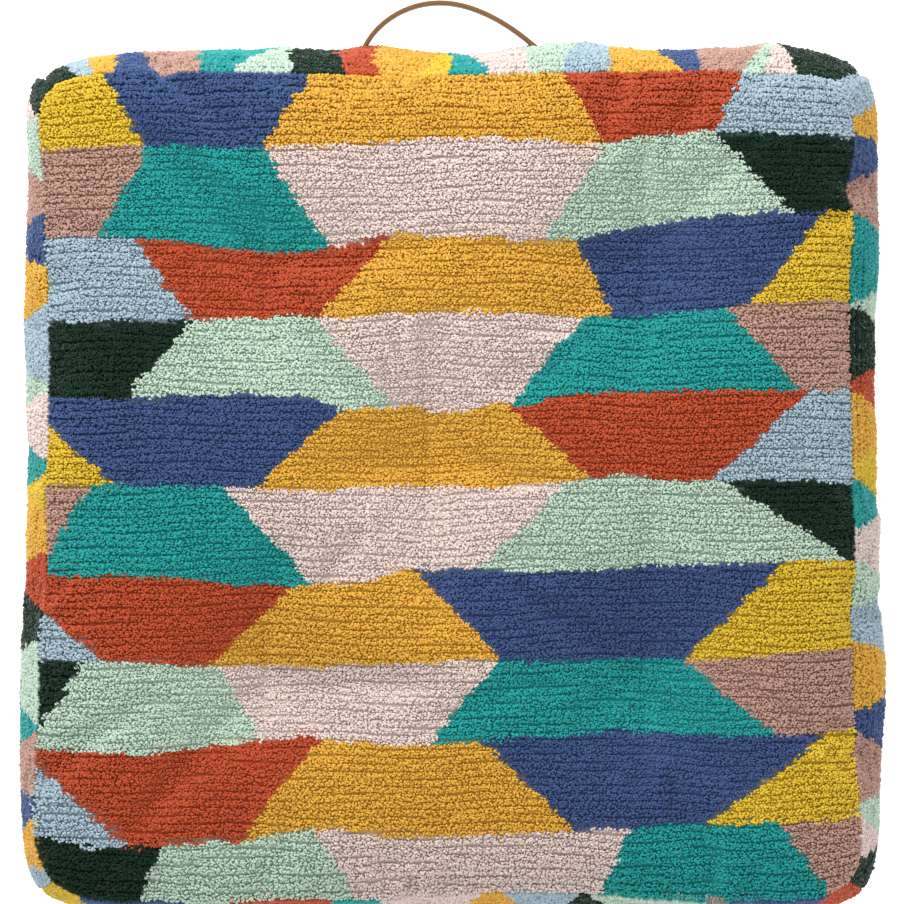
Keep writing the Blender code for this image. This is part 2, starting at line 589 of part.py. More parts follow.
def make_slider():
    """The slider with its bail, and the pull that turns on the bail."""
    start = ZIP_TRAVEL / 2
    outline, plate = slider_outline()
    slider = flat_outline("zip_slider", [outline], SLIDER_LENGTH / 2, PARTS, "brass", zip_face(start))
    bar = plate + PULL_EYE_RADIUS + LAYER_GAP
    path = [(plate - SLIDER_PLATE / 2, -BAIL_HALF_SPAN, 0.0), (bar, -BAIL_HALF_SPAN, 0.0),
            (bar, BAIL_HALF_SPAN, 0.0), (plate - SLIDER_PLATE / 2, BAIL_HALF_SPAN, 0.0)]
    bail = wire("bail", path, BAIL_RADIUS, False, CUTTERS, None, zip_face(start))
    apply_boolean(slider, hide_cutter(bail), "UNION")

    tab = PULL_THICKNESS / 2
    root = math.degrees(math.asin(tab / PULL_EYE_RADIUS))
    outer = arc((0, 0), PULL_EYE_RADIUS, root, 360 - root, 16) + arc((PULL_LENGTH - tab, 0), tab, -90, 90, 4)
    eye = arc((0, 0), BAIL_RADIUS + HOLE_CLEARANCE, 0, 330, 11)
    placing = Matrix.Translation((start, -SIDE_FACE - bar, MID_HEIGHT)) @ Matrix.Rotation(math.pi, 4, "Z")
    pull = flat_outline("zip_pull", [outer, eye], PULL_HALF_WIDTH, PARTS, "brass", placing)
    bpy.context.view_layer.update()
    pull.parent = slider
    pull.matrix_parent_inverse = slider.matrix_world.inverted()


# ---- Build --------------------------------------------------------------------------------------
cover_top, cover_base, handle_side = make_cover()
case_top, case_base, stuffing = make_insert()
make_ties((cover_top, case_top, stuffing, case_base))
make_handle(handle_side)
make_zip_tapes()
make_slider()
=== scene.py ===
"""Boxed floor cushion: tufted cotton pile cover, canvas base, leather handle, zip and insert.

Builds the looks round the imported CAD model. +Z is up, +Y is the handle's side and -Y the zip's.
All sizes are in metres.
"""
import logging
import math
from dataclasses import dataclass, field
from enum import Enum
from typing import Any, Sequence

import bpy
import numpy as np
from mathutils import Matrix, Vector, noise


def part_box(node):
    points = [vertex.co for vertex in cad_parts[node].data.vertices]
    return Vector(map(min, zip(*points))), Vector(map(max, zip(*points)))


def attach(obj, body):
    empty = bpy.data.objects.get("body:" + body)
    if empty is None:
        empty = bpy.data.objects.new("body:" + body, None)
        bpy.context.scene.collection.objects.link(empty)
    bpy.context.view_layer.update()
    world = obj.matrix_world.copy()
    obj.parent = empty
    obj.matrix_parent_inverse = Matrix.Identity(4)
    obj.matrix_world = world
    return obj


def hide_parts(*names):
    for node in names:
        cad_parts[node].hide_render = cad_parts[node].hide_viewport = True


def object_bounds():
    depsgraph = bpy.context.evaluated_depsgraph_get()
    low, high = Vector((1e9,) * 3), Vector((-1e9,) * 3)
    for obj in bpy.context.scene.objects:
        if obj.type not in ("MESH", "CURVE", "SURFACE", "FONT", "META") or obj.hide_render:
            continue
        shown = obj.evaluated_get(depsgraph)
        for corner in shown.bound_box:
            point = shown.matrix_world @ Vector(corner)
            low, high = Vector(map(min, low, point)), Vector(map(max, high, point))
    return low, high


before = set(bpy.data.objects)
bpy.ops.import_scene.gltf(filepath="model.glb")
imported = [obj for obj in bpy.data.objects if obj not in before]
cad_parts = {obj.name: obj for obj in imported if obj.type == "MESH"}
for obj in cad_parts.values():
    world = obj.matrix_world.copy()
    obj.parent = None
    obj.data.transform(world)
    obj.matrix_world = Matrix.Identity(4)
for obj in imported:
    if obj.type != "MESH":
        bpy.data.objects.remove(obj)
LOG = logging.getLogger("floor_cushion")
MM = 0.001
CAD_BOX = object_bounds()


# ---- Small helpers ------------------------------------------------------------------------------
def linear(hex_colour: str) -> tuple[float, float, float, float]:
    """Turns an sRGB hex colour into linear RGBA.

    Args:
        hex_colour: The colour as "#RRGGBB".

    Returns:
        Red, green, blue and an alpha of one, in linear light.
    """
    parts = [int(hex_colour[i:i + 2], 16) / 255 for i in (1, 3, 5)]
    return (*(c / 12.92 if c <= 0.04045 else ((c + 0.055) / 1.055) ** 2.4 for c in parts), 1.0)


def wave_scale(pitch: float) -> float:
    """Scale of a Wave Texture whose bands repeat at a pitch in metres."""
    return math.pi / (10 * pitch)


def add_node(tree: bpy.types.NodeTree, kind: str, settings: dict[Any, Any] | None = None,
             links: dict[Any, bpy.types.NodeSocket] | None = None) -> bpy.types.Node:
    """Adds one node with its settings and links.

    Args:
        tree: The material's node tree.
        kind: The node's type.
        settings: Values by property name, or by input name or number.
        links: Output sockets to link, by input name or number.

    Returns:
        The new node.
    """
    node = tree.nodes.new(kind)
    for name, value in (settings or {}).items():
        if isinstance(name, str) and hasattr(node, name):
            setattr(node, name, value)
        else:
            node.inputs[name].default_value = value
    for name, socket in (links or {}).items():
        tree.links.new(socket, node.inputs[name])
    return node


def ramp(tree: bpy.types.NodeTree, source: bpy.types.NodeSocket,
         stops: Sequence[tuple[float, tuple[float, float, float, float]]]) -> bpy.types.NodeSocket:
    """Adds a colour ramp.

    Args:
        tree: The material's node tree.
        source: The value that drives the ramp.
        stops: Positions and linear colours, in order.

    Returns:
        The ramp's colour output.
    """
    node = add_node(tree, "ShaderNodeValToRGB", {}, {"Fac": source})
    while len(node.color_ramp.elements) < len(stops):
        node.color_ramp.elements.new(1.0)
    for element, (position, colour) in zip(node.color_ramp.elements, stops):
        element.position = position
        element.color = colour
    return node.outputs["Color"]


def new_material(name: str, roughness: float, **constants: float) -> tuple[
        bpy.types.Material, bpy.types.NodeTree, bpy.types.Node]:
    """Makes a material with its shader's constants set on the shader's own sockets.

    Args:
        name: The material's name.
        roughness: The shader's roughness.
        constants: Other sockets' values, with "_" for each space in the socket's name.

    Returns:
        The material, its node tree and its shader node.
    """
    material = bpy.data.materials.new(name)
    material.use_nodes = True
    shader = material.node_tree.nodes["Principled BSDF"]
    shader.inputs["Roughness"].default_value = roughness
    for socket, value in constants.items():
        shader.inputs[socket.replace("_", " ")].default_value = value
    return material, material.node_tree, shader


def mesh_object(name: str, points: np.ndarray, faces: np.ndarray, smooth: bool = True) -> bpy.types.Object:
    """Makes a mesh object from points and faces that all have the same number of corners.

    Args:
        name: The object's name.
        points: The vertices, one row each.
        faces: Vertex numbers, one row for each face.
        smooth: Whether the faces are shaded smooth.

    Returns:
        The new object, at the origin.
    """
    data = bpy.data.meshes.new(name)
    data.vertices.add(len(points))
    data.vertices.foreach_set("co", np.ascontiguousarray(points, np.float32).ravel())
    data.loops.add(faces.size)
    data.loops.foreach_set("vertex_index", np.ascontiguousarray(faces, np.int32).ravel())
    data.polygons.add(len(faces))
    data.polygons.foreach_set("loop_start", np.arange(0, faces.size, faces.shape[1], dtype=np.int32))
    data.polygons.foreach_set("use_smooth", np.full(len(faces), smooth))
    data.update(calc_edges=True)
    obj = bpy.data.objects.new(name, data)
    bpy.context.scene.collection.objects.link(obj)
    return obj


def paint_points(obj: bpy.types.Object, name: str, values: np.ndarray) -> None:
    """Stores one number, or one linear colour, for each vertex of a mesh.

    Args:
        obj: The mesh object.
        name: The attribute's name.
        values: One row for each vertex.
    """
    if values.ndim == 1:
        attribute = obj.data.attributes.new(name, "FLOAT", "POINT")
        attribute.data.foreach_set("value", values.astype(np.float32))
    else:
        attribute = obj.data.color_attributes.new(name, "FLOAT_COLOR", "POINT")
        attribute.data.foreach_set("color", values.astype(np.float32).ravel())


def lay_out(obj: bpy.types.Object, flat: np.ndarray) -> None:
    """Gives a mesh a UV map from one flat position for each vertex.

    Args:
        obj: The mesh object.
        flat: Positions between zero and one, one row for each vertex.
    """
    corners = np.empty(len(obj.data.loops), np.int32)
    obj.data.loops.foreach_get("vertex_index", corners)
    layer = obj.data.uv_layers.new(name="OFBake")
    layer.data.foreach_set("uv", flat[corners].astype(np.float32).ravel())


def finish_piece(obj: bpy.types.Object, material: bpy.types.Material, body: str, slot: str,
                 *nodes: str) -> bpy.types.Object:
    """Dresses a piece, puts it on its body and hides the CAD nodes that it replaces.

    Args:
        obj: The piece.
        material: Its finish.
        body: The body that it rides on.
        slot: Not used.
        nodes: The CAD nodes that it replaces.

    Returns:
        The same piece.
    """
    obj.data.materials.clear()
    obj.data.materials.append(material)
    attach(obj, body)
    if nodes:
        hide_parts(*nodes)
    LOG.info("%s: %d faces on %s", obj.name, len(obj.data.polygons), body)
    return obj


def dress_nodes(material: bpy.types.Material, *starts: str) -> None:
    """Gives a finish to the CAD nodes that stay as they are.

    Args:
        material: The finish.
        starts: What the nodes' names start with.
    """
    for name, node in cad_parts.items():
        if name.startswith(starts):
            node.data.materials.clear()
            node.data.materials.append(material)


def thicken(obj: bpy.types.Object, thickness: float) -> None:
    """Gives a sheet its thickness, inwards from its face.

    Args:
        obj: The sheet.
        thickness: How thick it is.
    """
    solid = obj.modifiers.new("thickness", "SOLIDIFY")
    solid.thickness = thickness
    solid.offset = -1
    bpy.context.view_layer.objects.active = obj
    bpy.ops.object.modifier_apply(modifier="thickness")


def edit_new(primitive: Any, name: str, **options: Any) -> bpy.types.Object:
    """Adds a primitive alone at the origin and opens it in edit mode.

    Args:
        primitive: The operator that adds it.
        name: The new object's name.
        options: The operator's options.

    Returns:
        The new object, in edit mode and selected all over.
    """
    bpy.ops.object.select_all(action="DESELECT")
    primitive(location=(0, 0, 0), **options)
    obj = bpy.context.object
    obj.name = obj.data.name = name
    bpy.ops.object.mode_set(mode="EDIT")
    return obj


def pick_faces(obj: bpy.types.Object, normal: Vector, place: Vector | None = None) -> None:
    """Selects only the faces that face a direction, on a mesh in edit mode.

    Args:
        obj: The mesh object.
        normal: The direction.
        place: Where given, only faces whose middle lies within a millimetre of it count.
    """
    bpy.ops.object.mode_set(mode="OBJECT")
    data = obj.data
    for group in (data.vertices, data.edges, data.polygons):
        group.foreach_set("select", [False] * len(group))
    for face in data.polygons:
        face.select = face.normal.dot(normal) > 0.99 and (
            place is None or (face.center - place).length < MM)
    bpy.ops.object.mode_set(mode="EDIT")
    bpy.ops.mesh.select_mode(type="FACE")


def close_edit(obj: bpy.types.Object, *modifiers: str) -> bpy.types.Object:
    """Leaves edit mode and applies the piece's modifiers.

    Args:
        obj: The piece.
        modifiers: Names of the modifiers to apply, in order.

    Returns:
        The same piece.
    """
    bpy.ops.object.mode_set(mode="OBJECT")
    for name in modifiers:
        bpy.ops.object.modifier_apply(modifier=name)
    return obj


# ---- Yarns and their chart ----------------------------------------------------------------------
class Yarn(Enum):
    """The cotton yarns' dye colours."""
    MUSTARD = "#D6A43B"
    BLUE = "#3B527F"
    TEAL = "#1C9693"
    ORANGE = "#B44B28"
    MINT = "#B4CAB8"
    BLUSH = "#D7C5BE"
    LIGHT_BLUE = "#9EB3BF"
    DARK_GREEN = "#052717"
    YELLOW = "#D3B22F"
    MAUVE = "#B28D7E"


@dataclass(frozen=True)
class Band:
    """One band of patches: its yarns from left to right and the slanting cuts between them, in mm.

    Each cut is its place at the band's upper edge and at its lower edge.
    """
    yarns: tuple[Yarn, ...]
    cuts: tuple[tuple[float, float], ...]


def slanting(places: Sequence[float], slant: float) -> tuple[tuple[float, float], ...]:
    """Cuts that lean one way and the other in turn.

    Args:
        places: Where each cut crosses the middle of its band, in mm.
        slant: How far a cut runs to either side of its middle, in mm.

    Returns:
        Each cut's place at the upper and at the lower edge.
    """
    return tuple((place - slant * (-1) ** i, place + slant * (-1) ** i) for i, place in enumerate(places))


@dataclass(frozen=True)
class YarnChart:
    """Which yarn is tufted where on a panel, from bands and the edges between the bands, in mm."""
    bands: tuple[Band, ...]
    edges: tuple[tuple[tuple[float, float], ...], ...]

    def yarn_numbers(self, across: np.ndarray, up: np.ndarray) -> np.ndarray:
        """Finds the yarns at places on the panel.

        Args:
            across: Positions along the bands, in metres.
            up: Positions across the bands, in metres.

        Returns:
            Numbers of the yarns, in the order of the Yarn class.
        """
        x, y = across / MM, up / MM
        lines = [np.interp(x, *zip(*edge)) for edge in self.edges]
        band_numbers = sum((y < line).astype(int) for line in lines)
        lines = [np.full_like(x, lines[0].max() + 61)] + lines + [np.full_like(x, lines[-1].min() - 61)]
        order = list(Yarn)
        found = np.zeros(len(x), int)
        for number, band in enumerate(self.bands):
            inside = band_numbers == number
            top, low = lines[number][inside], lines[number + 1][inside]
            share = np.clip((top - y[inside]) / np.maximum(top - low, 1), 0, 1)
            place = sum((x[inside] > a + (b - a) * share).astype(int) for a, b in band.cuts)
            found[inside] = np.array([order.index(yarn) for yarn in band.yarns])[place]
        return found


WARM = (Yarn.YELLOW, Yarn.BLUE, Yarn.MUSTARD, Yarn.ORANGE, Yarn.LIGHT_BLUE)
COOL = (Yarn.MAUVE, Yarn.TEAL, Yarn.BLUSH, Yarn.MINT, Yarn.DARK_GREEN)

TOP_CHART = YarnChart(
    bands=(
        Band(WARM, ((-264, -222), (-95, -136), (71, 111), (219, 190))),
        Band(COOL, ((-219, -258), (-136, -90), (111, 67), (190, 248))),
        Band(WARM[::-1], ((-231, -189), (-47, -99), (89, 118), (275, 215))),
        Band(COOL[::-1], ((-189, -237), (-101, -42), (100, 42), (198, 251))),
        Band(WARM, ((-322, -243), (-79, -141), (42, 100), (260, 187))),
        Band(COOL, ((-260, -308), (-166, -101), (85, 17), (195, 292))),
        Band(WARM[::-1], ((-330, -252), (-117, -176), (-26, 35), (241, 168))),
        Band(COOL[::-1], ((-266, -308), (-171, -136), (35, -16), (168, 236))),
        Band(WARM[::-1], ((-312, -233), (-94, -153), (20, 89), (274, 184))),
        Band(COOL[::-1], ((-209, -241), (-101, -50), (130, 90), (238, 300))),
    ),
    edges=(
        ((-297, 238), (-245, 240), (-175, 240), (-129, 241), (-59, 243), (-13, 246), (34, 247),
         (103, 242), (126, 246), (172, 251), (242, 249), (297, 248)),
        ((-297, 175), (-245, 173), (-198, 173), (-175, 168), (-129, 164), (-106, 165), (-82, 170),
         (-37, 179), (-13, 175), (79, 173), (126, 181), (172, 189), (242, 193), (297, 193)),
        ((-297, 112), (-245, 113), (-175, 115), (-129, 119), (-82, 116), (-37, 119), (56, 120),
         (126, 119), (172, 122), (219, 125), (297, 128)),
        ((-297, 59), (-245, 56), (-198, 60), (-152, 61), (-106, 59), (-82, 50), (-37, 53),
         (-13, 49), (10, 48), (34, 55), (56, 53), (79, 60), (126, 64), (219, 64), (297, 65)),
        ((-297, -5), (-175, -5), (-106, -9), (-59, -5), (34, -6), (79, -2), (126, 3), (149, -1),
         (242, -1), (297, -3)),
        ((-297, -70), (-198, -71), (-152, -79), (-106, -78), (-59, -73), (-37, -64), (34, -66),
         (56, -68), (103, -66), (195, -62), (242, -59), (297, -58)),
        ((-297, -132), (-245, -131), (-198, -135), (-106, -137), (-37, -134), (10, -130),
         (79, -134), (126, -131), (195, -131), (242, -125), (297, -122)),
        ((-297, -196), (-222, -199), (-152, -191), (-106, -188), (-37, -194), (34, -188),
         (103, -185), (126, -182), (195, -186), (242, -185), (297, -181)),
        ((-297, -261), (-245, -264), (-152, -261), (-106, -253), (-82, -252), (-37, -258),
         (56, -255), (149, -250), (219, -248), (297, -246)),
    ),
)

HANDLE_SIDE_CHART = YarnChart(
    bands=(
        Band((Yarn.DARK_GREEN, Yarn.LIGHT_BLUE, Yarn.MUSTARD, Yarn.BLUE, Yarn.MAUVE, Yarn.TEAL, Yarn.MINT,
              Yarn.DARK_GREEN, Yarn.ORANGE, Yarn.MUSTARD, Yarn.YELLOW, Yarn.TEAL, Yarn.BLUSH, Yarn.MINT,
              Yarn.LIGHT_BLUE, Yarn.MUSTARD, Yarn.BLUE, Yarn.MAUVE, Yarn.MINT, Yarn.BLUSH,
              Yarn.DARK_GREEN, Yarn.LIGHT_BLUE),
             ((-278, -282), (-263, -264), (-246, -241), (-214, -234), (-181, -183), (-162, -122),
              (-116, -118), (-80, -84), (-56, -56), (-22, -4), (1, -3), (31, -2), (58, 50), (79, 93),
              (115, 117), (168, 142), (182, 176), (211, 231), (230, 232), (254, 233), (291, 296))),
        Band(COOL[::-1] + WARM + COOL[::-1],
             slanting((-250, -205, -168, -130, -92, -55, -12, 28, 66, 108, 148, 190, 228, 262), 18)),
    ),
    edges=(((-300, 58), (-90, 62), (40, 60), (300, 63)),),
)
LEFT_SIDE_CHART = YarnChart(
    bands=(
        Band((Yarn.LIGHT_BLUE, Yarn.MUSTARD, Yarn.BLUE, Yarn.MAUVE, Yarn.TEAL, Yarn.MINT, Yarn.DARK_GREEN,
              Yarn.ORANGE, Yarn.MUSTARD, Yarn.YELLOW, Yarn.TEAL, Yarn.BLUSH, Yarn.MINT, Yarn.LIGHT_BLUE,
              Yarn.MUSTARD, Yarn.BLUE, Yarn.MAUVE, Yarn.MINT, Yarn.BLUSH, Yarn.DARK_GREEN),
             slanting((-281, -252, -227, -190, -172, -121, -88, -58, -16, -1, 22, 58, 75, 121, 160, 186,
                       223, 258, 271), 7)),
        Band(WARM[::-1] + COOL + WARM,
             slanting((-262, -222, -176, -138, -98, -62, -20, 22, 60, 102, 144, 182, 226, 264), 18)),
    ),
    edges=(((-300, 63), (-120, 59), (90, 62), (300, 58)),),
)
RIGHT_SIDE_CHART = YarnChart(
    bands=(
        Band((Yarn.DARK_GREEN, Yarn.BLUSH, Yarn.MINT, Yarn.MAUVE, Yarn.BLUE, Yarn.MUSTARD, Yarn.LIGHT_BLUE,
              Yarn.MINT, Yarn.BLUSH, Yarn.TEAL, Yarn.YELLOW, Yarn.MUSTARD, Yarn.ORANGE, Yarn.DARK_GREEN,
              Yarn.MINT, Yarn.TEAL, Yarn.MAUVE, Yarn.BLUE, Yarn.MUSTARD, Yarn.LIGHT_BLUE),
             slanting((-270, -252, -230, -192, -162, -124, -88, -66, -31, -6, 22, 58, 80, 118, 134, 184, 221,
                       245, 270), 7)),
        Band(COOL + WARM[::-1] + COOL,
             slanting((-258, -216, -180, -134, -100, -58, -24, 18, 56, 98, 140, 178, 222, 260), 18)),
    ),
    edges=(((-300, 58), (-60, 62), (140, 59), (300, 62)),),
)
ZIP_SIDE_CHART = YarnChart(
    bands=(
        Band((Yarn.YELLOW, Yarn.BLUE, Yarn.MINT, Yarn.ORANGE, Yarn.TEAL, Yarn.BLUSH, Yarn.MUSTARD,
              Yarn.LIGHT_BLUE, Yarn.DARK_GREEN, Yarn.MINT, Yarn.MAUVE, Yarn.BLUE, Yarn.ORANGE),
             slanting((-262, -205, -150, -96, -40, 10, 52, 79, 116, 170, 214, 262), 14)),
        Band(COOL + WARM + COOL[::-1],
             slanting((-254, -210, -172, -128, -94, -52, -14, 30, 64, 104, 150, 186, 224, 266), 18)),
    ),
    edges=(((-300, 61), (300, 61)),),
)


# ---- Finishes -----------------------------------------------------------------------------------
@dataclass(frozen=True)
class CottonPile:
    """Cut cotton pile: dull, soft-edged yarn ends that catch light on their fibres."""
    name: str = "cut_cotton_pile"
    fibre: float = 0.5 * MM        # cotton fibres are finer; this is as coarse as it needs to show
    streak: float = 26 * MM        # dye lots vary over a hand's breadth
    darkest: float = 0.88
    lightest: float = 1.07

    def material(self) -> bpy.types.Material:
        """Makes the material from the yarn's dye, each end's own shade and uneven dyeing.

        Returns:
            The material.
        """
        material, tree, shader = new_material(
            self.name, 0.92, Specular_IOR_Level=0.2, Sheen_Weight=0.3, Sheen_Roughness=0.4)
        place = add_node(tree, "ShaderNodeTexCoord").outputs["Object"]
        dye = add_node(tree, "ShaderNodeAttribute", {"attribute_name": "yarn"}).outputs["Color"]
        shade = add_node(tree, "ShaderNodeAttribute", {"attribute_name": "shade"}).outputs["Fac"]
        uneven = add_node(tree, "ShaderNodeTexNoise", {"Scale": 1 / self.streak, "Detail": 3.0},
                          {"Vector": place}).outputs["Fac"]
        both = add_node(tree, "ShaderNodeMath", {"operation": "MULTIPLY_ADD", 1: 0.35}, {0: uneven, 2: shade})
        level = add_node(tree, "ShaderNodeMapRange",
                         {"From Min": 0.1, "From Max": 1.25, "To Min": self.darkest, "To Max": self.lightest},
                         {"Value": both.outputs["Value"]}).outputs["Result"]
        colour = add_node(tree, "ShaderNodeVectorMath", {"operation": "SCALE"}, {0: dye, "Scale": level})
        tree.links.new(colour.outputs["Vector"], shader.inputs["Base Color"])
        fuzz = add_node(tree, "ShaderNodeTexNoise", {"Scale": 1 / self.fibre, "Detail": 2.0},
                        {"Vector": place})
        bump = add_node(tree, "ShaderNodeBump", {"Strength": 0.5, "Distance": 0.25 * MM},
                        {"Height": fuzz.outputs["Fac"]})
        tree.links.new(bump.outputs["Normal"], shader.inputs["Normal"])
        return material


@dataclass(frozen=True)
class WovenCloth:
    """Plain woven cotton: crossing threads, a little slubby, quite matt."""
    name: str
    warp: str
    weft: str
    pitch: float                   # from one thread to the next
    upright: bool = False          # the threads run up and along a side instead of across the base
    roughness: float = 0.9

    def material(self) -> bpy.types.Material:
        """Makes the material from two sets of threads that take turns on top, painted darker where they dip
        as shade in the weave's hollows.

        Returns:
            The material.
        """
        material, tree, shader = new_material(self.name, self.roughness, Specular_IOR_Level=0.25,
                                              Sheen_Weight=0.12)
        turn = (math.radians(90), 0, 0) if self.upright else (0, 0, 0)
        coords = add_node(tree, "ShaderNodeTexCoord").outputs["Object"]
        place = add_node(tree, "ShaderNodeMapping", {"Rotation": turn}, {"Vector": coords}).outputs["Vector"]
        threads = [add_node(tree, "ShaderNodeTexWave",
                            {"bands_direction": way, "Scale": wave_scale(self.pitch), "Distortion": 0.6,
                             "Detail": 1.0}, {"Vector": place}).outputs["Fac"] for way in ("X", "Y")]
        over = add_node(tree, "ShaderNodeTexChecker", {"Scale": 1 / self.pitch}, {"Vector": place})
        height = add_node(tree, "ShaderNodeMix", {}, {"Factor": over.outputs["Fac"], 2: threads[0],
                                                      3: threads[1]}).outputs[0]
        slub = add_node(tree, "ShaderNodeTexNoise", {"Scale": 1 / (9 * self.pitch), "Detail": 4.0},
                        {"Vector": place}).outputs["Fac"]
        dyes = add_node(tree, "ShaderNodeMix", {"data_type": "RGBA", 6: linear(self.warp),
                                                7: linear(self.weft)}, {"Factor": over.outputs["Fac"]})
        # The colour is darkened where the threads dip, as painted shade, and varied by slubs in the thread,
        # which is real tone.
        lift = add_node(tree, "ShaderNodeMath", {"operation": "MULTIPLY_ADD", 1: 0.5}, {0: height, 2: slub})
        level = add_node(tree, "ShaderNodeMapRange", {"From Max": 1.4, "To Min": 0.66, "To Max": 1.1},
                         {"Value": lift.outputs["Value"]}).outputs["Result"]
        colour = add_node(tree, "ShaderNodeVectorMath", {"operation": "SCALE"},
                          {0: dyes.outputs[2], "Scale": level})
        tree.links.new(colour.outputs["Vector"], shader.inputs["Base Color"])
        bump = add_node(tree, "ShaderNodeBump", {"Strength": 0.6, "Distance": self.pitch / 4},
                        {"Height": height})
        tree.links.new(bump.outputs["Normal"], shader.inputs["Normal"])
        return material


@dataclass(frozen=True)
class VegetableTannedLeather:
    """Vegetable tanned cowhide: waxed brown grain face with fine pores and burnished cut edges."""
    name: str = "vegetable_tanned_leather"
    face: str = "#764D22"
    dark: str = "#5A391B"
    edge: str = "#6F4C1F"
    pore: float = 0.9 * MM
    half_width: float = 12.5 * MM
    middle: float = 75 * MM

    def material(self) -> bpy.types.Material:
        """Makes the material, with the burnished cut edge and a creased line along each edge.

        Returns:
            The material.
        """
        material, tree, shader = new_material(self.name, 0.5, Specular_IOR_Level=0.45, Coat_Weight=0.08,
                                              Coat_Roughness=0.35)
        place = add_node(tree, "ShaderNodeTexCoord").outputs["Object"]
        height = add_node(tree, "ShaderNodeSeparateXYZ", {}, {"Vector": place}).outputs["Z"]
        offset = add_node(tree, "ShaderNodeMath", {"operation": "SUBTRACT", 1: self.middle}, {0: height})
        out = add_node(tree, "ShaderNodeMath", {"operation": "ABSOLUTE"}, {0: offset.outputs["Value"]})
        share = add_node(tree, "ShaderNodeMath", {"operation": "DIVIDE", 1: self.half_width},
                         {0: out.outputs["Value"]}).outputs["Value"]
        mottle = add_node(tree, "ShaderNodeTexNoise", {"Scale": 1 / (14 * MM), "Detail": 5.0},
                          {"Vector": place}).outputs["Fac"]
        face = ramp(tree, mottle, ((0.3, linear(self.dark)), (0.62, linear(self.face))))
        rim = ramp(tree, share, ((0.0, (0, 0, 0, 1)), (0.955, (0, 0, 0, 1)), (0.985, (1, 1, 1, 1))))
        colour = add_node(tree, "ShaderNodeMix", {"data_type": "RGBA", 7: linear(self.edge)},
                          {"Factor": rim, 6: face})
        tree.links.new(colour.outputs[2], shader.inputs["Base Color"])
        pores = add_node(tree, "ShaderNodeTexVoronoi", {"Scale": 1 / self.pore}, {"Vector": place})
        crease = ramp(tree, share, ((0.78, (1, 1, 1, 1)), (0.82, (0, 0, 0, 1)), (0.86, (1, 1, 1, 1))))
        relief = add_node(tree, "ShaderNodeMath", {"operation": "MULTIPLY_ADD", 1: 0.3},
                          {0: pores.outputs["Distance"], 2: crease})
        bump = add_node(tree, "ShaderNodeBump", {"Strength": 0.4, "Distance": 0.3 * MM},
                        {"Height": relief.outputs["Value"]})
        tree.links.new(bump.outputs["Normal"], shader.inputs["Normal"])
        return material


@dataclass(frozen=True)
class Brass:
    """Tumbled brass: warm metal, dulled where it has been handled, with fine scratches."""
    name: str = "tumbled_brass"
    bright: str = "#D9B56A"
    dull: str = "#A8803F"

    def material(self) -> bpy.types.Material:
        """Makes the material, with tarnish in patches and scratches in the roughness.

        Returns:
            The material.
        """
        material, tree, shader = new_material(self.name, 0.3, Metallic=1.0)
        place = add_node(tree, "ShaderNodeTexCoord").outputs["Object"]
        tarnish = add_node(tree, "ShaderNodeTexNoise", {"Scale": 1 / (3 * MM), "Detail": 4.0},
                           {"Vector": place}).outputs["Fac"]
        tree.links.new(ramp(tree, tarnish, ((0.35, linear(self.dull)), (0.65, linear(self.bright)))),
                       shader.inputs["Base Color"])
        scratches = add_node(tree, "ShaderNodeTexNoise", {"Scale": 1 / (0.4 * MM), "Detail": 2.0},
                             {"Vector": place}).outputs["Fac"]
        rough = add_node(tree, "ShaderNodeMapRange", {"To Min": 0.22, "To Max": 0.42}, {"Value": scratches})
        tree.links.new(rough.outputs["Result"], shader.inputs["Roughness"])
        return material


@dataclass(frozen=True)
class ExtrudedNylon:
    """Extruded nylon of a coil zip: smooth, slightly waxy, a touch uneven in colour."""
    name: str = "extruded_nylon"
    colour: str = "#B79A6C"
    shadow: str = "#93784E"

    def material(self) -> bpy.types.Material:
        """Makes the material with a faint mottle and drawing marks along the filament.

        Returns:
            The material.
        """
        material, tree, shader = new_material(self.name, 0.38, IOR=1.53)
        place = add_node(tree, "ShaderNodeTexCoord").outputs["Object"]
        mottle = add_node(tree, "ShaderNodeTexNoise", {"Scale": 1 / (4 * MM), "Detail": 3.0},
                          {"Vector": place}).outputs["Fac"]
        tree.links.new(ramp(tree, mottle, ((0.35, linear(self.shadow)), (0.6, linear(self.colour)))),
                       shader.inputs["Base Color"])
        marks = add_node(tree, "ShaderNodeBump", {"Strength": 0.2, "Distance": 0.05 * MM}, {"Height": mottle})
        tree.links.new(marks.outputs["Normal"], shader.inputs["Normal"])
        return material


@dataclass(frozen=True)
class TwistedTwine:
    """Waxed cotton twine: plies that wind round each other, a dull sheen from the wax."""
    name: str = "waxed_cotton_twine"
    # high is the plies' own colour on their crests; low is painted shade in the grooves between them.
    high: str = "#C9B283"
    low: str = "#86704A"
    ply: float = 1.3 * MM          # from one ply to the next along the twine

    def material(self) -> bpy.types.Material:
        """Makes the material with diagonal plies in relief, and in colour with painted shade in the grooves
        between the plies.

        Returns:
            The material.
        """
        material, tree, shader = new_material(self.name, 0.7, Specular_IOR_Level=0.35)
        place = add_node(tree, "ShaderNodeTexCoord").outputs["Object"]
        plies = add_node(tree, "ShaderNodeTexWave", {"bands_direction": "DIAGONAL", "Distortion": 0.4,
                                                     "Scale": wave_scale(self.ply)}, {"Vector": place})
        # The ramp paints shade into the grooves between the plies.
        tree.links.new(ramp(tree, plies.outputs["Fac"], ((0.2, linear(self.low)), (0.8, linear(self.high)))),
                       shader.inputs["Base Color"])
        bump = add_node(tree, "ShaderNodeBump", {"Strength": 0.6, "Distance": 0.25 * MM},
                        {"Height": plies.outputs["Fac"]})
        tree.links.new(bump.outputs["Normal"], shader.inputs["Normal"])
        return material


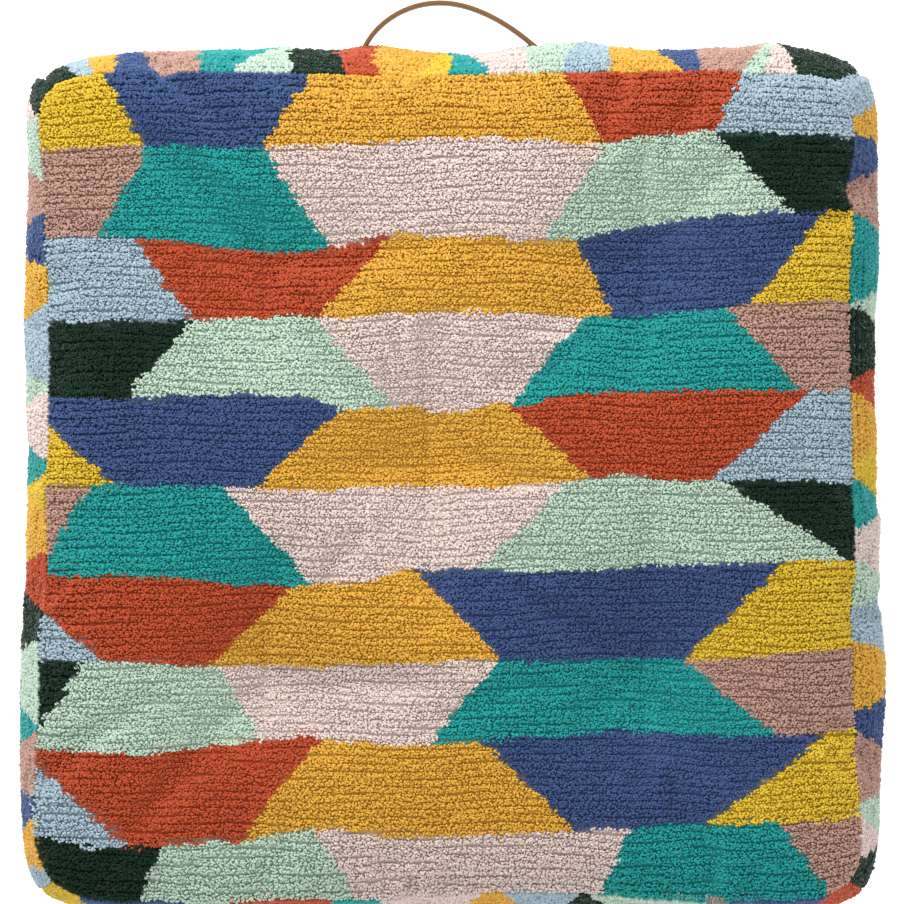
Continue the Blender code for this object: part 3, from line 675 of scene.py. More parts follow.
@dataclass(frozen=True)
class FibreFill:
    """Carded cotton and polyester fibre: white, tangled, no shine at all."""
    name: str = "carded_fibre_filling"
    high: str = "#F1EEE4"
    low: str = "#CFC9B8"

    def material(self) -> bpy.types.Material:
        """Makes the material with tangled clumps in colour and relief.

        Returns:
            The material.
        """
        material, tree, shader = new_material(self.name, 1.0, Specular_IOR_Level=0.1, Sheen_Weight=0.3)
        place = add_node(tree, "ShaderNodeTexCoord").outputs["Object"]
        tangle = add_node(tree, "ShaderNodeTexNoise", {"Scale": 1 / (12 * MM), "Detail": 8.0,
                                                       "Distortion": 2.5}, {"Vector": place}).outputs["Fac"]
        tree.links.new(ramp(tree, tangle, ((0.35, linear(self.low)), (0.6, linear(self.high)))),
                       shader.inputs["Base Color"])
        bump = add_node(tree, "ShaderNodeBump", {"Strength": 0.8, "Distance": 3 * MM}, {"Height": tangle})
        tree.links.new(bump.outputs["Normal"], shader.inputs["Normal"])
        return material


@dataclass(frozen=True)
class MattPaint:
    """Matt white emulsion on a studio floor: even, pale, with a faint roller texture."""
    name: str = "matt_white_floor_paint"
    high: str = "#FFFFFF"
    low: str = "#FAFAFA"

    def material(self) -> bpy.types.Material:
        """Makes the material, lit a little from within so that shadows on it stay faint.

        Returns:
            The material.
        """
        material, tree, shader = new_material(self.name, 0.9, Specular_IOR_Level=0.1, Emission_Strength=0.55)
        shader.inputs["Emission Color"].default_value = (1, 1, 1, 1)
        place = add_node(tree, "ShaderNodeTexCoord").outputs["Object"]
        roller = add_node(tree, "ShaderNodeTexNoise", {"Scale": 1 / (8 * MM)}, {"Vector": place})
        tree.links.new(ramp(tree, roller.outputs["Fac"], ((0.3, linear(self.low)), (0.7, linear(self.high)))),
                       shader.inputs["Base Color"])
        return material


# ---- The cover's form ---------------------------------------------------------------------------
class Panel(Enum):
    """The panels that carry pile."""
    TOP = "top"
    HANDLE_SIDE = "handle_side"
    LEFT_SIDE = "left_side"
    RIGHT_SIDE = "right_side"
    ZIP_SIDE = "zip_side"


# How far each side's middle sinks, in mm, by place along the side in mm.
DRAWN_IN = {
    Panel.LEFT_SIDE: ((-300, 0), (-257, 3), (-198, 1), (-111, -1), (-23, 0), (6, -4), (36, -3),
        (65, 0), (94, 1.5), (123, 3), (153, 5), (182, 5), (211, 7), (240, 6.5), (269, 3), (300, 2)),
    Panel.RIGHT_SIDE: ((-300, 0), (-257, 3), (-228, 4.5), (-198, 3.5), (-169, -1), (-140, -3.5),
        (-111, -1.5), (-52, -1.5), (-23, -4.5), (6, -1.5), (36, 1), (65, 4), (94, 4.5), (123, 6),
        (153, 4), (182, 5), (211, 6.5), (240, 6), (269, 3), (300, 2)),
    Panel.HANDLE_SIDE: ((-300, 9), (-257, 7), (-235, 7), (-192, 6), (-170, 4.5), (-148, 3),
        (-126, -1.5), (-104, 0), (-82, 3), (-50, 0), (60, 0), (79, -2), (101, -3.5), (123, 1),
        (145, 5), (167, 5), (189, 3), (211, 3), (232, -0.5), (254, 2), (276, 3), (300, 6)),
}
# How far out each side's top seam lies, in mm, by place along the side in mm.
SEAM_DRIFT = {
    Panel.LEFT_SIDE: ((-297, 4), (-271, 10), (-235, 12), (-206, 9), (-176, 7), (-147, 7), (-111, 8),
        (-81, 3), (-52, 1.5), (-16, 3), (21, 0.5), (57, 1), (131, 0.5), (174, 2), (211, 1.5),
        (240, 5), (269, 8), (297, 3)),
    Panel.RIGHT_SIDE: ((-297, 3), (-279, 6), (-257, 4.5), (-228, 1), (-191, -1), (-162, -3),
        (-125, -3), (-96, -4.5), (-74, 0), (-16, -0.5), (50, -2.5), (101, -5), (145, -6), (182, -3),
        (211, -7), (240, -2), (297, -1)),
    Panel.ZIP_SIDE: ((-297, 7), (-260, 13), (-170, 14), (-125, 11), (-50, 13), (36, 7), (90, 7),
        (130, 10), (196, 13), (270, 12), (297, 7)),
}


@dataclass
class CoverForm:
    """The stuffed cover's outer form: the CAD model's form, creased at its ties and settled as cloth."""
    seam_span: float = 596 * MM
    boxing_height: float = 122 * MM
    side_bulge: float = 17 * MM
    top_crown: float = 30 * MM
    crown_power: float = 2.4
    base_lift: float = 14 * MM
    base_flat_share: float = 0.78
    corner_pull: float = 0.020
    corner_pinch: float = 0.45
    corner_power: float = 14
    dimple_depth: float = 15 * MM
    dimple_radius: float = 42 * MM
    tie_patch_half: float = 9 * MM
    crease_depth: float = 5 * MM
    crease_half_width: float = 9 * MM
    crease_half_length: float = 34 * MM
    lump_height: float = 1.8 * MM      # unevenness of the stuffing
    lump_width: float = 75 * MM
    cells: int = 60                    # across the cloth
    rise_cells: int = 12               # up the sides
    frames: int = 20
    most_give: float = 9 * MM          # the cloth moves no further than this
    corner_tuck: float = 8 * MM        # the top seam's corners are turned in by this in X and in Y
    strap_half: float = 66 * MM        # the side stands proud over each end of the strap
    ties: list[tuple[float, float]] = field(default_factory=list)
    give: dict[Panel, np.ndarray] = field(default_factory=dict)

    def __post_init__(self) -> None:
        """Finds the ties from the CAD model and lets the cloth settle."""
        for name in sorted(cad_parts):
            if name.startswith("tie_"):
                low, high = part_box(name)
                self.ties.append(((low.x + high.x) / 2, (low.y + high.y) / 2))
        self.settle()

    @property
    def half_span(self) -> float:
        """Half of the span from seam to seam."""
        return self.seam_span / 2

    def top_height(self, u: np.ndarray, v: np.ndarray) -> np.ndarray:
        """Height of the top.

        Args:
            u: Shares of the half span in X.
            v: Shares of the half span in Y.

        Returns:
            Heights above the floor.
        """
        crown = (1 - np.abs(u) ** self.crown_power) * (1 - np.abs(v) ** self.crown_power)
        height = self.base_lift + self.boxing_height + self.top_crown * crown
        for x, y in self.ties:
            dx, dy = u * self.half_span - x, v * self.half_span - y
            reach = np.maximum(0, np.hypot(dx, dy) - self.tie_patch_half)
            sunk = self.dimple_depth * np.exp(-(reach / self.dimple_radius) ** 2)
            sunk = sunk + self.crease_depth * np.exp(-np.abs(dx / self.crease_half_width)
                                                     - (dy / self.crease_half_length) ** 2)
            height = height - sunk * np.minimum(1, 4 * crown)
        return height

    def point(self, u: np.ndarray, v: np.ndarray, rise: np.ndarray, depth: float) -> np.ndarray:
        """Points of the form before the cloth settles.

        Args:
            u: Shares of the half span in X.
            v: Shares of the half span in Y.
            rise: Shares of the height from the base to the top.
            depth: How far inside the outer face.

        Returns:
            One row for each point.
        """
        corner = np.abs(u * v) ** self.corner_power
        push = np.stack([np.sign(u) * np.abs(u) ** self.corner_power,
                         np.sign(v) * np.abs(v) ** self.corner_power], -1)
        push /= np.maximum(1, np.linalg.norm(push, axis=-1, keepdims=True))
        push *= (self.side_bulge * np.sin(np.pi * rise) * (1 - self.corner_pinch * corner))[..., None]
        climb = np.clip((np.maximum(np.abs(u), np.abs(v)) - self.base_flat_share)
                        / (1 - self.base_flat_share), 0, 1)
        low = self.base_lift * climb ** 2 * (3 - 2 * climb) + depth
        high = self.top_height(u, v) - depth
        drawn_in = (self.half_span - depth) * (1 - self.corner_pull * corner)
        return np.stack([drawn_in * u + push[..., 0], drawn_in * v + push[..., 1],
                         low + (high - low) * rise], -1)

    def shell(self, cells: int, rise_cells: int) -> tuple[np.ndarray, np.ndarray, np.ndarray]:
        """A closed grid over the whole form.

        Args:
            cells: Cells across each large face.
            rise_cells: Cells up each side.

        Returns:
            Grid numbers of each vertex, each face's vertices, and the vertex at each grid number.
        """
        n, m = cells, rise_cells
        i, j, k = np.meshgrid(np.arange(n + 1), np.arange(n + 1), np.arange(m + 1), indexing="ij")
        skin = (i == 0) | (i == n) | (j == 0) | (j == n) | (k == 0) | (k == m)
        index = np.full(skin.shape, -1)
        index[skin] = np.arange(skin.sum())
        spots = np.stack([i[skin], j[skin], k[skin]], -1)

        def quads(sheet: np.ndarray, flip: bool) -> np.ndarray:
            """Faces of one sheet of the grid, turned over where flip is set."""
            loop = np.stack([sheet[:-1, :-1], sheet[1:, :-1], sheet[1:, 1:], sheet[:-1, 1:]], -1)
            return loop.reshape(-1, 4)[:, ::-1] if flip else loop.reshape(-1, 4)

        faces = np.concatenate([quads(index[:, :, m], False), quads(index[:, :, 0], True),
                                quads(index[:, n, :], True), quads(index[:, 0, :], False),
                                quads(index[n, :, :], False), quads(index[0, :, :], True)])
        return spots, faces, index

    def spot(self, panel: Panel, across: np.ndarray, up: np.ndarray) -> tuple[np.ndarray, ...]:
        """Shares of the form for places on a panel.

        Args:
            panel: The panel.
            across: Distances from the panel's middle along it.
            up: Distances from the top's middle in Y, or from a side's lower seam.

        Returns:
            Shares in X, in Y and up the height.
        """
        along, one = across / self.half_span, np.ones_like(across)
        if panel is Panel.TOP:
            return along, up / self.half_span, one
        rise = up / self.boxing_height
        return {Panel.HANDLE_SIDE: (along, one, rise), Panel.ZIP_SIDE: (along, -one, rise),
                Panel.LEFT_SIDE: (-one, along, rise), Panel.RIGHT_SIDE: (one, along, rise)}[panel]

    def at(self, panel: Panel, across: np.ndarray, up: np.ndarray, depth: float) -> np.ndarray:
        """Points of the settled form.

        Args:
            panel: The panel.
            across: Distances from the panel's middle along it.
            up: Distances from the top's middle in Y, or from a side's lower seam.
            depth: How far inside the outer face.

        Returns:
            One row for each point.
        """
        points = self.point(*self.spot(panel, across, up), depth)
        grid = self.give[panel]
        s = (across / self.half_span + 1) / 2 * (grid.shape[0] - 1)
        share = (up / self.half_span + 1) / 2 if panel is Panel.TOP else up / self.boxing_height
        return points + smooth_sample(grid, s, share * (grid.shape[1] - 1))

    def outward(self, panel: Panel, across: np.ndarray, up: np.ndarray) -> tuple[np.ndarray, ...]:
        """Directions on a panel.

        Args:
            panel: The panel.
            across: Distances from the panel's middle along it.
            up: Distances from the top's middle in Y, or from a side's lower seam.

        Returns:
            Unit vectors out of the panel, along it and up it.
        """
        step = 2 * MM
        along = self.at(panel, across + step, up, 0) - self.at(panel, across - step, up, 0)
        rising = self.at(panel, across, up + step, 0) - self.at(panel, across, up - step, 0)
        out = np.cross(along, rising)
        if panel in (Panel.HANDLE_SIDE, Panel.LEFT_SIDE):
            out = -out
        return tuple(v / np.linalg.norm(v, axis=-1, keepdims=True) for v in (out, along, rising))

    def settle(self) -> None:
        """Lets the stuffed cloth find its rest, and keeps how far each part of it gave."""
        spots, faces, index = self.shell(self.cells, self.rise_cells)
        u = spots[:, 0] / self.cells * 2 - 1
        v = spots[:, 1] / self.cells * 2 - 1
        rise = spots[:, 2] / self.rise_cells
        rest = self.point(u, v, rise, 0.0)
        moved = np.zeros_like(rest)
        moved = self.simulate(rest, faces, u, v, rise)
        moved *= (1 - self.hold_share(rest, v, rise))[:, None]
        self.pull_seams(moved, rest, u, v, rise)
        lumps = np.array([noise.noise(Vector(p) / self.lump_width) + 0.4 * noise.noise(
            Vector(p) / self.lump_width * 2.3 + Vector((7, 3, 1))) for p in rest])
        out = np.stack([u ** 7 * (rise < 1), v ** 7 * (rise < 1), (rise == 1).astype(float)], -1)
        out /= np.maximum(1e-6, np.linalg.norm(out, axis=-1, keepdims=True))
        moved += out * (self.lump_height * lumps * (rise > 0))[:, None]
        n, m = self.cells, self.rise_cells
        self.give = {Panel.TOP: moved[index[:, :, m]], Panel.HANDLE_SIDE: moved[index[:, n, :]],
                     Panel.ZIP_SIDE: moved[index[:, 0, :]], Panel.LEFT_SIDE: moved[index[0, :, :]],
                     Panel.RIGHT_SIDE: moved[index[n, :, :]]}

    def pull_seams(self, moved: np.ndarray, rest: np.ndarray, u: np.ndarray, v: np.ndarray,
                   rise: np.ndarray) -> None:
        """Adds the pull of the seams and of the strap: uneven sides, a wandering top seam, tucked corners.

        Args:
            moved: How far each vertex moves; this is changed.
            rest: The cloth's vertices before it settles.
            u: Each vertex's share of the half span in X.
            v: Each vertex's share of the half span in Y.
            rise: Each vertex's share of the height.
        """
        tuck = self.corner_tuck * np.abs(u * v) ** 8 * np.maximum(0, 2 * rise - 1) ** 3
        moved -= np.stack([np.sign(u) * tuck, np.sign(v) * tuck, 0 * tuck], -1)
        x = rest[:, 0]
        bumps = np.exp(-((np.abs(x) - self.strap_half) / (24 * MM)) ** 2)
        bumps -= 1.1 * np.exp(-(x / (42 * MM)) ** 2)
        moved[:, 1] += 3.5 * MM * bumps * (v == 1) * np.sin(np.pi * rise)
        facing = {Panel.LEFT_SIDE: (0, -1), Panel.RIGHT_SIDE: (0, 1), Panel.HANDLE_SIDE: (1, 1),
                  Panel.ZIP_SIDE: (1, -1)}
        for panel, line in DRAWN_IN.items():
            axis, way = facing[panel]
            sunk = np.interp(rest[:, 1 - axis] / MM, *zip(*line)) * MM * ((u, v)[axis] == way)
            moved[:, axis] -= way * sunk * np.sin(np.pi * rise)
        for panel, line in SEAM_DRIFT.items():
            axis, way = facing[panel]
            share = np.maximum(0, way * (u, v)[axis]) ** 12 * rise ** 6
            moved[:, axis] += way * share * np.interp(rest[:, 1 - axis] / MM, *zip(*line)) * MM

    def hold_share(self, rest: np.ndarray, v: np.ndarray, rise: np.ndarray) -> np.ndarray:
        """How firmly the handle's backing and the zip's tapes hold the cloth.

        Args:
            rest: The cloth's vertices before it settles.
            v: Each vertex's share of the half span in Y.
            rise: Each vertex's share of the height.

        Returns:
            One where the cloth can't give, falling to zero away from there.
        """
        off = np.abs(rise - 0.5) * self.boxing_height
        backing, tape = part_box("handle_backing"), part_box("zip_tape_upper")
        past_backing = np.hypot(np.maximum(0, np.abs(rest[:, 0]) - backing[1].x),
                                np.maximum(0, off - (backing[1].z - backing[0].z) / 2))
        past_tape = np.hypot(np.maximum(0, np.abs(rest[:, 0]) - tape[1].x), np.maximum(0, off - 17 * MM))
        past = np.where(v == 1, past_backing, np.where(v == -1, past_tape, 1.0))
        return np.exp(-(past / (30 * MM)) ** 2)

    def simulate(self, rest: np.ndarray, faces: np.ndarray, u: np.ndarray, v: np.ndarray,
                 rise: np.ndarray) -> np.ndarray:
        """Runs the cloth simulation of the stuffed cover.

        Args:
            rest: The cloth's vertices before it settles.
            faces: The cloth's faces.
            u: Each vertex's share of the half span in X.
            v: Each vertex's share of the half span in Y.
            rise: Each vertex's share of the height.

        Returns:
            How far each vertex moved.
        """
        cloth = mesh_object("settling_cover", rest * (0.996, 0.996, 0.97) + (0, 0, 0.6 * MM), faces)
        reach = np.min([np.hypot(u * self.half_span - x, v * self.half_span - y) for x, y in self.ties],
                       axis=0)
        level = (rise == 0) & (np.maximum(np.abs(u), np.abs(v)) <= self.base_flat_share)
        held = cloth.vertex_groups.new(name="held")
        tied = (rise == 1) & (reach < self.tie_patch_half)
        held.add(np.flatnonzero(level | tied).tolist(), 1.0, "REPLACE")
        seam = ((rise == 1) | (rise == 0)) & (np.maximum(np.abs(u), np.abs(v)) > 0.999)
        held.add(np.flatnonzero(seam).tolist(), 0.25, "REPLACE")
        stuffing = cloth.modifiers.new("stuffing", "CLOTH")
        settings = stuffing.settings
        settings.vertex_group_mass = "held"
        settings.quality = 5
        settings.mass = 0.4
        settings.tension_stiffness = settings.compression_stiffness = 18
        settings.bending_stiffness = 1.2
        settings.shrink_min = -0.02
        settings.use_pressure = True
        settings.uniform_pressure_force = 4
        settings.effector_weights.gravity = 0
        stuffing.point_cache.frame_start = 1
        stuffing.point_cache.frame_end = self.frames
        for number in range(1, self.frames + 1):
            bpy.context.scene.frame_set(number)
        bpy.ops.object.select_all(action="DESELECT")
        bpy.context.view_layer.objects.active = cloth
        cloth.select_set(True)
        bpy.ops.object.modifier_apply(modifier="stuffing")
        settled = np.empty(len(rest) * 3, np.float32)
        cloth.data.vertices.foreach_get("co", settled)
        bpy.data.objects.remove(cloth, do_unlink=True)
        bpy.context.scene.frame_set(1)
        moved = settled.reshape(-1, 3) - rest
        far = np.linalg.norm(moved, axis=1)
        LOG.info("cloth settled: mean %.1f mm, most %.1f mm", far.mean() / MM, far.max() / MM)
        limit = self.most_give * np.tanh(far / self.most_give)
        return moved * (limit / np.maximum(far, 1e-9))[:, None]


def smooth_sample(grid: np.ndarray, s: np.ndarray, t: np.ndarray) -> np.ndarray:
    """Samples a grid of vectors with smooth cubic weights.

    Args:
        grid: Vectors on a regular grid.
        s: Places along the first axis, in cells.
        t: Places along the second axis, in cells.

    Returns:
        One vector for each place.
    """
    def taps(place: np.ndarray, size: int) -> list[tuple[np.ndarray, np.ndarray]]:
        """The four nearest grid lines and their weights."""
        base = np.floor(np.clip(place, 0, size - 1)).astype(int)
        f = np.clip(place, 0, size - 1) - base
        weights = ((-f + 2 * f ** 2 - f ** 3) / 2, (2 - 5 * f ** 2 + 3 * f ** 3) / 2,
                   (f + 4 * f ** 2 - 3 * f ** 3) / 2, (f ** 3 - f ** 2) / 2)
        return [(np.clip(base + i - 1, 0, size - 1), w) for i, w in enumerate(weights)]

    total = np.zeros((*s.shape, grid.shape[-1]))
    columns = taps(t, grid.shape[1])
    for row, row_weight in taps(s, grid.shape[0]):
        for column, weight in columns:
            total += grid[row, column] * (row_weight * weight)[..., None]
    return total


# ---- Cover --------------------------------------------------------------------------------------
@dataclass
class PileCover:
    """The tufted cotton panels: their backing cloth and every cut yarn end."""
    form: CoverForm
    pile_height: float = 8 * MM
    backing_depth: float = 2.9 * MM
    row_pitch: float = 5.5 * MM        # from one tufted row to the next
    line_pitch: float = 1.78 * MM      # between the lines of ends within a row
    end_pitch: float = 2.1 * MM        # between ends along a line
    end_half_length: float = 1.75 * MM
    end_half_width: float = 1.1 * MM
    dome: float = 0.9 * MM             # from an end's shoulder to its tip
    rib_drop: float = 0.35 * MM        # how much lower a row's outer lines lie
    unevenness: float = 0.38 * MM
    stray: float = 1.4 * MM            # how far a row's change of yarn strays from the chart
    seam_margin: float = 0.9 * MM
    slot_half: float = 5.5 * MM        # of the zip's slot
    slot_reach: float = 227.5 * MM     # the slot begins to close here
    well_reach: float = 11 * MM        # the backing gives way this far round each rivet
    slot_depth: float = 8.6 * MM       # from the backing's outer face to the facing behind the tapes
    top_strips: int = 5
    backing_cells: int = 120
    backing_rise_cells: int = 24
    random: np.random.Generator = field(default_factory=lambda: np.random.default_rng(20))
    material: bpy.types.Material = field(default_factory=lambda: CottonPile().material())

    def build(self) -> None:
        """Builds the backing and the pile of each panel."""
        self.build_backing()
        charts = {Panel.HANDLE_SIDE: HANDLE_SIDE_CHART, Panel.LEFT_SIDE: LEFT_SIDE_CHART,
                  Panel.RIGHT_SIDE: RIGHT_SIDE_CHART}
        half = self.form.half_span - self.seam_margin
        height = self.form.boxing_height
        width = 2 * half / self.top_strips
        for number in range(self.top_strips):
            start = -half + number * width
            self.tuft(f"top_pile_{number + 1}", Panel.TOP, TOP_CHART, (start, start + width), "pile_top",
                      "top_panel")
        low, high = self.seam_margin, height - self.seam_margin
        for panel, chart in charts.items():
            self.tuft(panel.value + "_pile", panel, chart, (low, high), "pile_side", panel.value + "_panel")
        for part, span in (("lower", (low, height / 2)), ("upper", (height / 2, high))):
            self.tuft(f"zip_side_{part}_pile", Panel.ZIP_SIDE, ZIP_SIDE_CHART, span, "pile_side",
                      f"zip_side_{part}_panel")

    def rise_lines(self) -> np.ndarray:
        """Heights of the backing's grid lines, as shares, with lines at the edges of the zip's slot."""
        edge = 0.5 - (self.slot_half + 0.5 * MM) / self.form.boxing_height
        wall = edge + 0.3 * MM / self.form.boxing_height
        lower = np.linspace(0, edge, self.backing_rise_cells // 2 - 1)
        return np.concatenate([lower, (wall, 0.5, 1 - wall), 1 - lower[::-1]])

    def build_backing(self) -> None:
        """Builds the backing cloth under the pile, in the yarns' colours darkened as painted shade between
        the ends.
        """
        form = self.form
        spots, faces, index = form.shell(self.backing_cells, self.backing_rise_cells)
        across = (spots[:, :2] / self.backing_cells * 2 - 1) * form.half_span
        rise = self.rise_lines()[spots[:, 2]]
        up = rise * form.boxing_height
        u, v = (across / form.half_span).T
        points = form.point(u, v, rise, self.backing_depth)
        order = list(Yarn)
        dyes = np.array([linear(yarn.value) for yarn in order])
        colours = np.tile(np.array(linear("#8C8069")), (len(points), 1))
        sheets = ((Panel.LEFT_SIDE, spots[:, 0] == 0, across[:, 1], LEFT_SIDE_CHART),
                  (Panel.RIGHT_SIDE, spots[:, 0] == self.backing_cells, across[:, 1], RIGHT_SIDE_CHART),
                  (Panel.ZIP_SIDE, spots[:, 1] == 0, across[:, 0], ZIP_SIDE_CHART),
                  (Panel.HANDLE_SIDE, spots[:, 1] == self.backing_cells, across[:, 0], HANDLE_SIDE_CHART),
                  (Panel.TOP, spots[:, 2] == self.backing_rise_cells, across[:, 0], TOP_CHART))
        for panel, inside, along, chart in sheets:
            rising = across[:, 1] if panel is Panel.TOP else up
            points[inside] = form.at(panel, along[inside], rising[inside], self.backing_depth)
            # The yarns' own colours, darkened to 0.72 as painted shade in the gaps between the ends.
            colours[inside] = dyes[chart.yarn_numbers(along[inside], rising[inside])] * (0.72, 0.72, 0.72, 1)
        in_slot = ((spots[:, 1] == 0) & (np.abs(spots[:, 2] - self.backing_rise_cells // 2) < 2)
                   & (np.abs(across[:, 0]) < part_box("zip_tape_upper")[1].x))
        points[in_slot, 1] += self.slot_depth
        colours[in_slot] = linear("#8C8069")
        for name in sorted(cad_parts):
            if name.startswith("handle_rivet_"):
                low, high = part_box(name)
                reach = np.hypot(points[:, 0] - (low.x + high.x) / 2, points[:, 2] - (low.z + high.z) / 2)
                near = (spots[:, 1] == self.backing_cells) & (reach < self.well_reach)
                points[near, 1] = np.minimum(points[near, 1], high.y - 1.8 * MM)
                colours[near] = linear("#8C8069")
        backing = mesh_object("cover_backing", points, faces)
        paint_points(backing, "yarn", colours)
        paint_points(backing, "shade", np.full(len(points), 0.5))
        finish_piece(backing, self.material, "cushion", "pile_side", "top_panel", "handle_side_panel",
                     "left_side_panel", "right_side_panel", "zip_side_upper_panel", "zip_side_lower_panel")

    def ends(self, panel: Panel, low: float, high: float) -> tuple[np.ndarray, ...]:
        """Places of the yarn ends on a panel.

        Args:
            panel: The panel.
            low: Where the rows start.
            high: Where the rows end.

        Returns:
            Distances along and up the panel, each end's line within its row, from -1 to 1, and its row.
        """
        half = self.form.half_span - self.seam_margin
        rows = round((high - low) / self.row_pitch)
        pitch = (high - low) / rows
        count = round(2 * half / self.end_pitch)
        row, line, place = np.meshgrid(np.arange(rows), (-1, 0, 1), np.arange(count), indexing="ij")
        row, line, place = row.ravel(), line.ravel(), place.ravel()
        shift = self.random.uniform(-0.4, 0.4, len(row)) + 0.5 * (line == 0)
        across = -half + (place + 0.5 + shift * 0.9) * (2 * half / count)
        up = low + (row + 0.5) * pitch + line * self.line_pitch
        wander = 1.3 * MM * np.sin(across / (41 * MM) + 1.6 * np.sin(up / (67 * MM)))
        wander += 0.7 * MM * np.sin(across / (17 * MM) + up / (31 * MM))
        inset = self.form.half_span - np.abs(up) if panel is Panel.TOP else np.minimum(up - low, high - up)
        phase = self.random.uniform(0, 2 * math.pi, (2, rows))
        wander += 0.45 * MM * np.sin(across / (13 * MM) + phase[0, row])
        wander += 0.35 * MM * np.sin(across / (29 * MM) + phase[1, row])
        up = up + wander * np.clip(inset / (12 * MM), 0, 1) + self.random.normal(0, 0.32 * MM, len(row))
        keep = np.abs(across) < half
        return across[keep], up[keep], line[keep], row[keep]

    def clear_of_fittings(self, panel: Panel, across: np.ndarray, up: np.ndarray) -> np.ndarray:
        """Tells which ends stand clear of the zip's slot, the strap's slots and the rivets.

        Args:
            panel: The panel.
            across: Distances along the panel.
            up: Distances up the panel.

        Returns:
            True for each end that is kept.
        """
        height = up + self.form.base_lift
        keep = np.ones(len(across), bool)
        if panel is Panel.ZIP_SIDE:
            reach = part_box("zip_tape_upper")[1].x
            share = np.clip((np.abs(across) - self.slot_reach) / (reach - self.slot_reach), 0, 1)
            half = self.slot_half * (1 - share)
            keep &= np.abs(up - self.form.boxing_height / 2) > half + 2 * MM * (share < 1)
        if panel is Panel.HANDLE_SIDE:
            low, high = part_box("handle_strap")
            for side in (low.x + 1.6 * MM, high.x - 1.6 * MM):
                keep &= (np.abs(across - side) > 2.6 * MM) | (height < low.z - MM) | (height > high.z + MM)
            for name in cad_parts:
                if name.startswith("handle_rivet_"):
                    low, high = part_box(name)
                    middle = (low + high) / 2
                    keep &= np.hypot(across - middle.x, height - middle.z) > (high.x - low.x) / 2 + 0.8 * MM
        return keep

    def tuft(self, name: str, panel: Panel, chart: YarnChart, span: tuple[float, float], slot: str,
             *nodes: str) -> None:
        """Builds one piece of pile.

        Args:
            name: The piece's name.
            panel: The panel that it stands on.
            chart: The panel's yarn chart.
            span: Where its rows start and end, up the panel.
            slot: Not used; only passed on to finish_piece, which does not read it.
            nodes: The CAD nodes that it replaces.
        """
        across, up, line, row = self.ends(panel, *span)
        keep = self.clear_of_fittings(panel, across, up)
        across, up, line, row = across[keep], up[keep], line[keep], row[keep]
        count = len(across)
        out, along, rising = self.form.outward(panel, across, up)
        proud = -self.rib_drop * np.abs(line) + self.random.normal(0, self.unevenness, count)
        proud += self.unevenness * np.sin(across / (7 * MM) + row * 2.3) * np.sin(across / (19 * MM) - row)
        tips = self.form.at(panel, across, up, 0) + out * np.minimum(proud, 2 * MM)[:, None]
        lean = self.random.normal(0, 0.22, (count, 2))
        way = out + along * lean[:, :1] + rising * (lean[:, 1:] + 0.25 * line[:, None])
        way /= np.linalg.norm(way, axis=-1, keepdims=True)
        turn = self.random.normal(0, 0.75, count)
        length = along * np.cos(turn)[:, None] + rising * np.sin(turn)[:, None]
        width = np.cross(way, length)
        size = self.random.uniform(0.8, 1.25, count)[:, None]
        points, flat = [], []
        centre = np.stack([across / (2 * self.form.half_span) + 0.5,
                           (up - span[0]) / (span[1] - span[0])], -1)
        scale = np.array([1 / (2 * self.form.half_span), 1 / (span[1] - span[0])])
        for depth, spread, flat_spread in ((self.pile_height, 0.8, 1.0), (self.dome, 1.0, 0.6)):
            for corner in range(3):
                angle = 2 * math.pi * corner / 3
                step = (length * (self.end_half_length * math.cos(angle))
                        + width * (self.end_half_width * math.sin(angle)))
                points.append(tips - way * depth + step * spread * size)
                flat.append(centre + 1.1 * MM * flat_spread * scale * (math.cos(angle), math.sin(angle)))
        points.append(tips + length * self.random.normal(0, 0.3 * MM, (count, 1)))
        flat.append(centre)
        one = np.array([(0, 1, 4), (0, 4, 3), (1, 2, 5), (1, 5, 4), (2, 0, 3), (2, 3, 5),
                        (3, 4, 6), (4, 5, 6), (5, 3, 6)])
        faces = (np.arange(count) * 7)[:, None, None] + one
        pile = mesh_object(name, np.stack(points, 1).reshape(-1, 3), faces.reshape(-1, 3))
        jitter = self.random.normal(0, 0.6 * MM, (2, count))
        stray = self.random.normal(0, self.stray, (2, int(row.max()) + 1, 40))
        stretch = ((across / self.form.half_span + 1) / 2 * 39).astype(int)
        numbers = chart.yarn_numbers(across + stray[0, row, stretch] + jitter[0],
                                     up + 0.5 * stray[1, row, stretch] + jitter[1])
        dyes = np.array([linear(yarn.value) for yarn in Yarn])[numbers]
        paint_points(pile, "yarn", np.repeat(dyes, 7, axis=0))
        paint_points(pile, "shade", np.repeat(self.random.uniform(0, 1, count), 7))
        lay_out(pile, np.clip(np.stack(flat, 1).reshape(-1, 2), 0.0005, 0.9995))
        finish_piece(pile, self.material, "cushion", slot, *nodes)


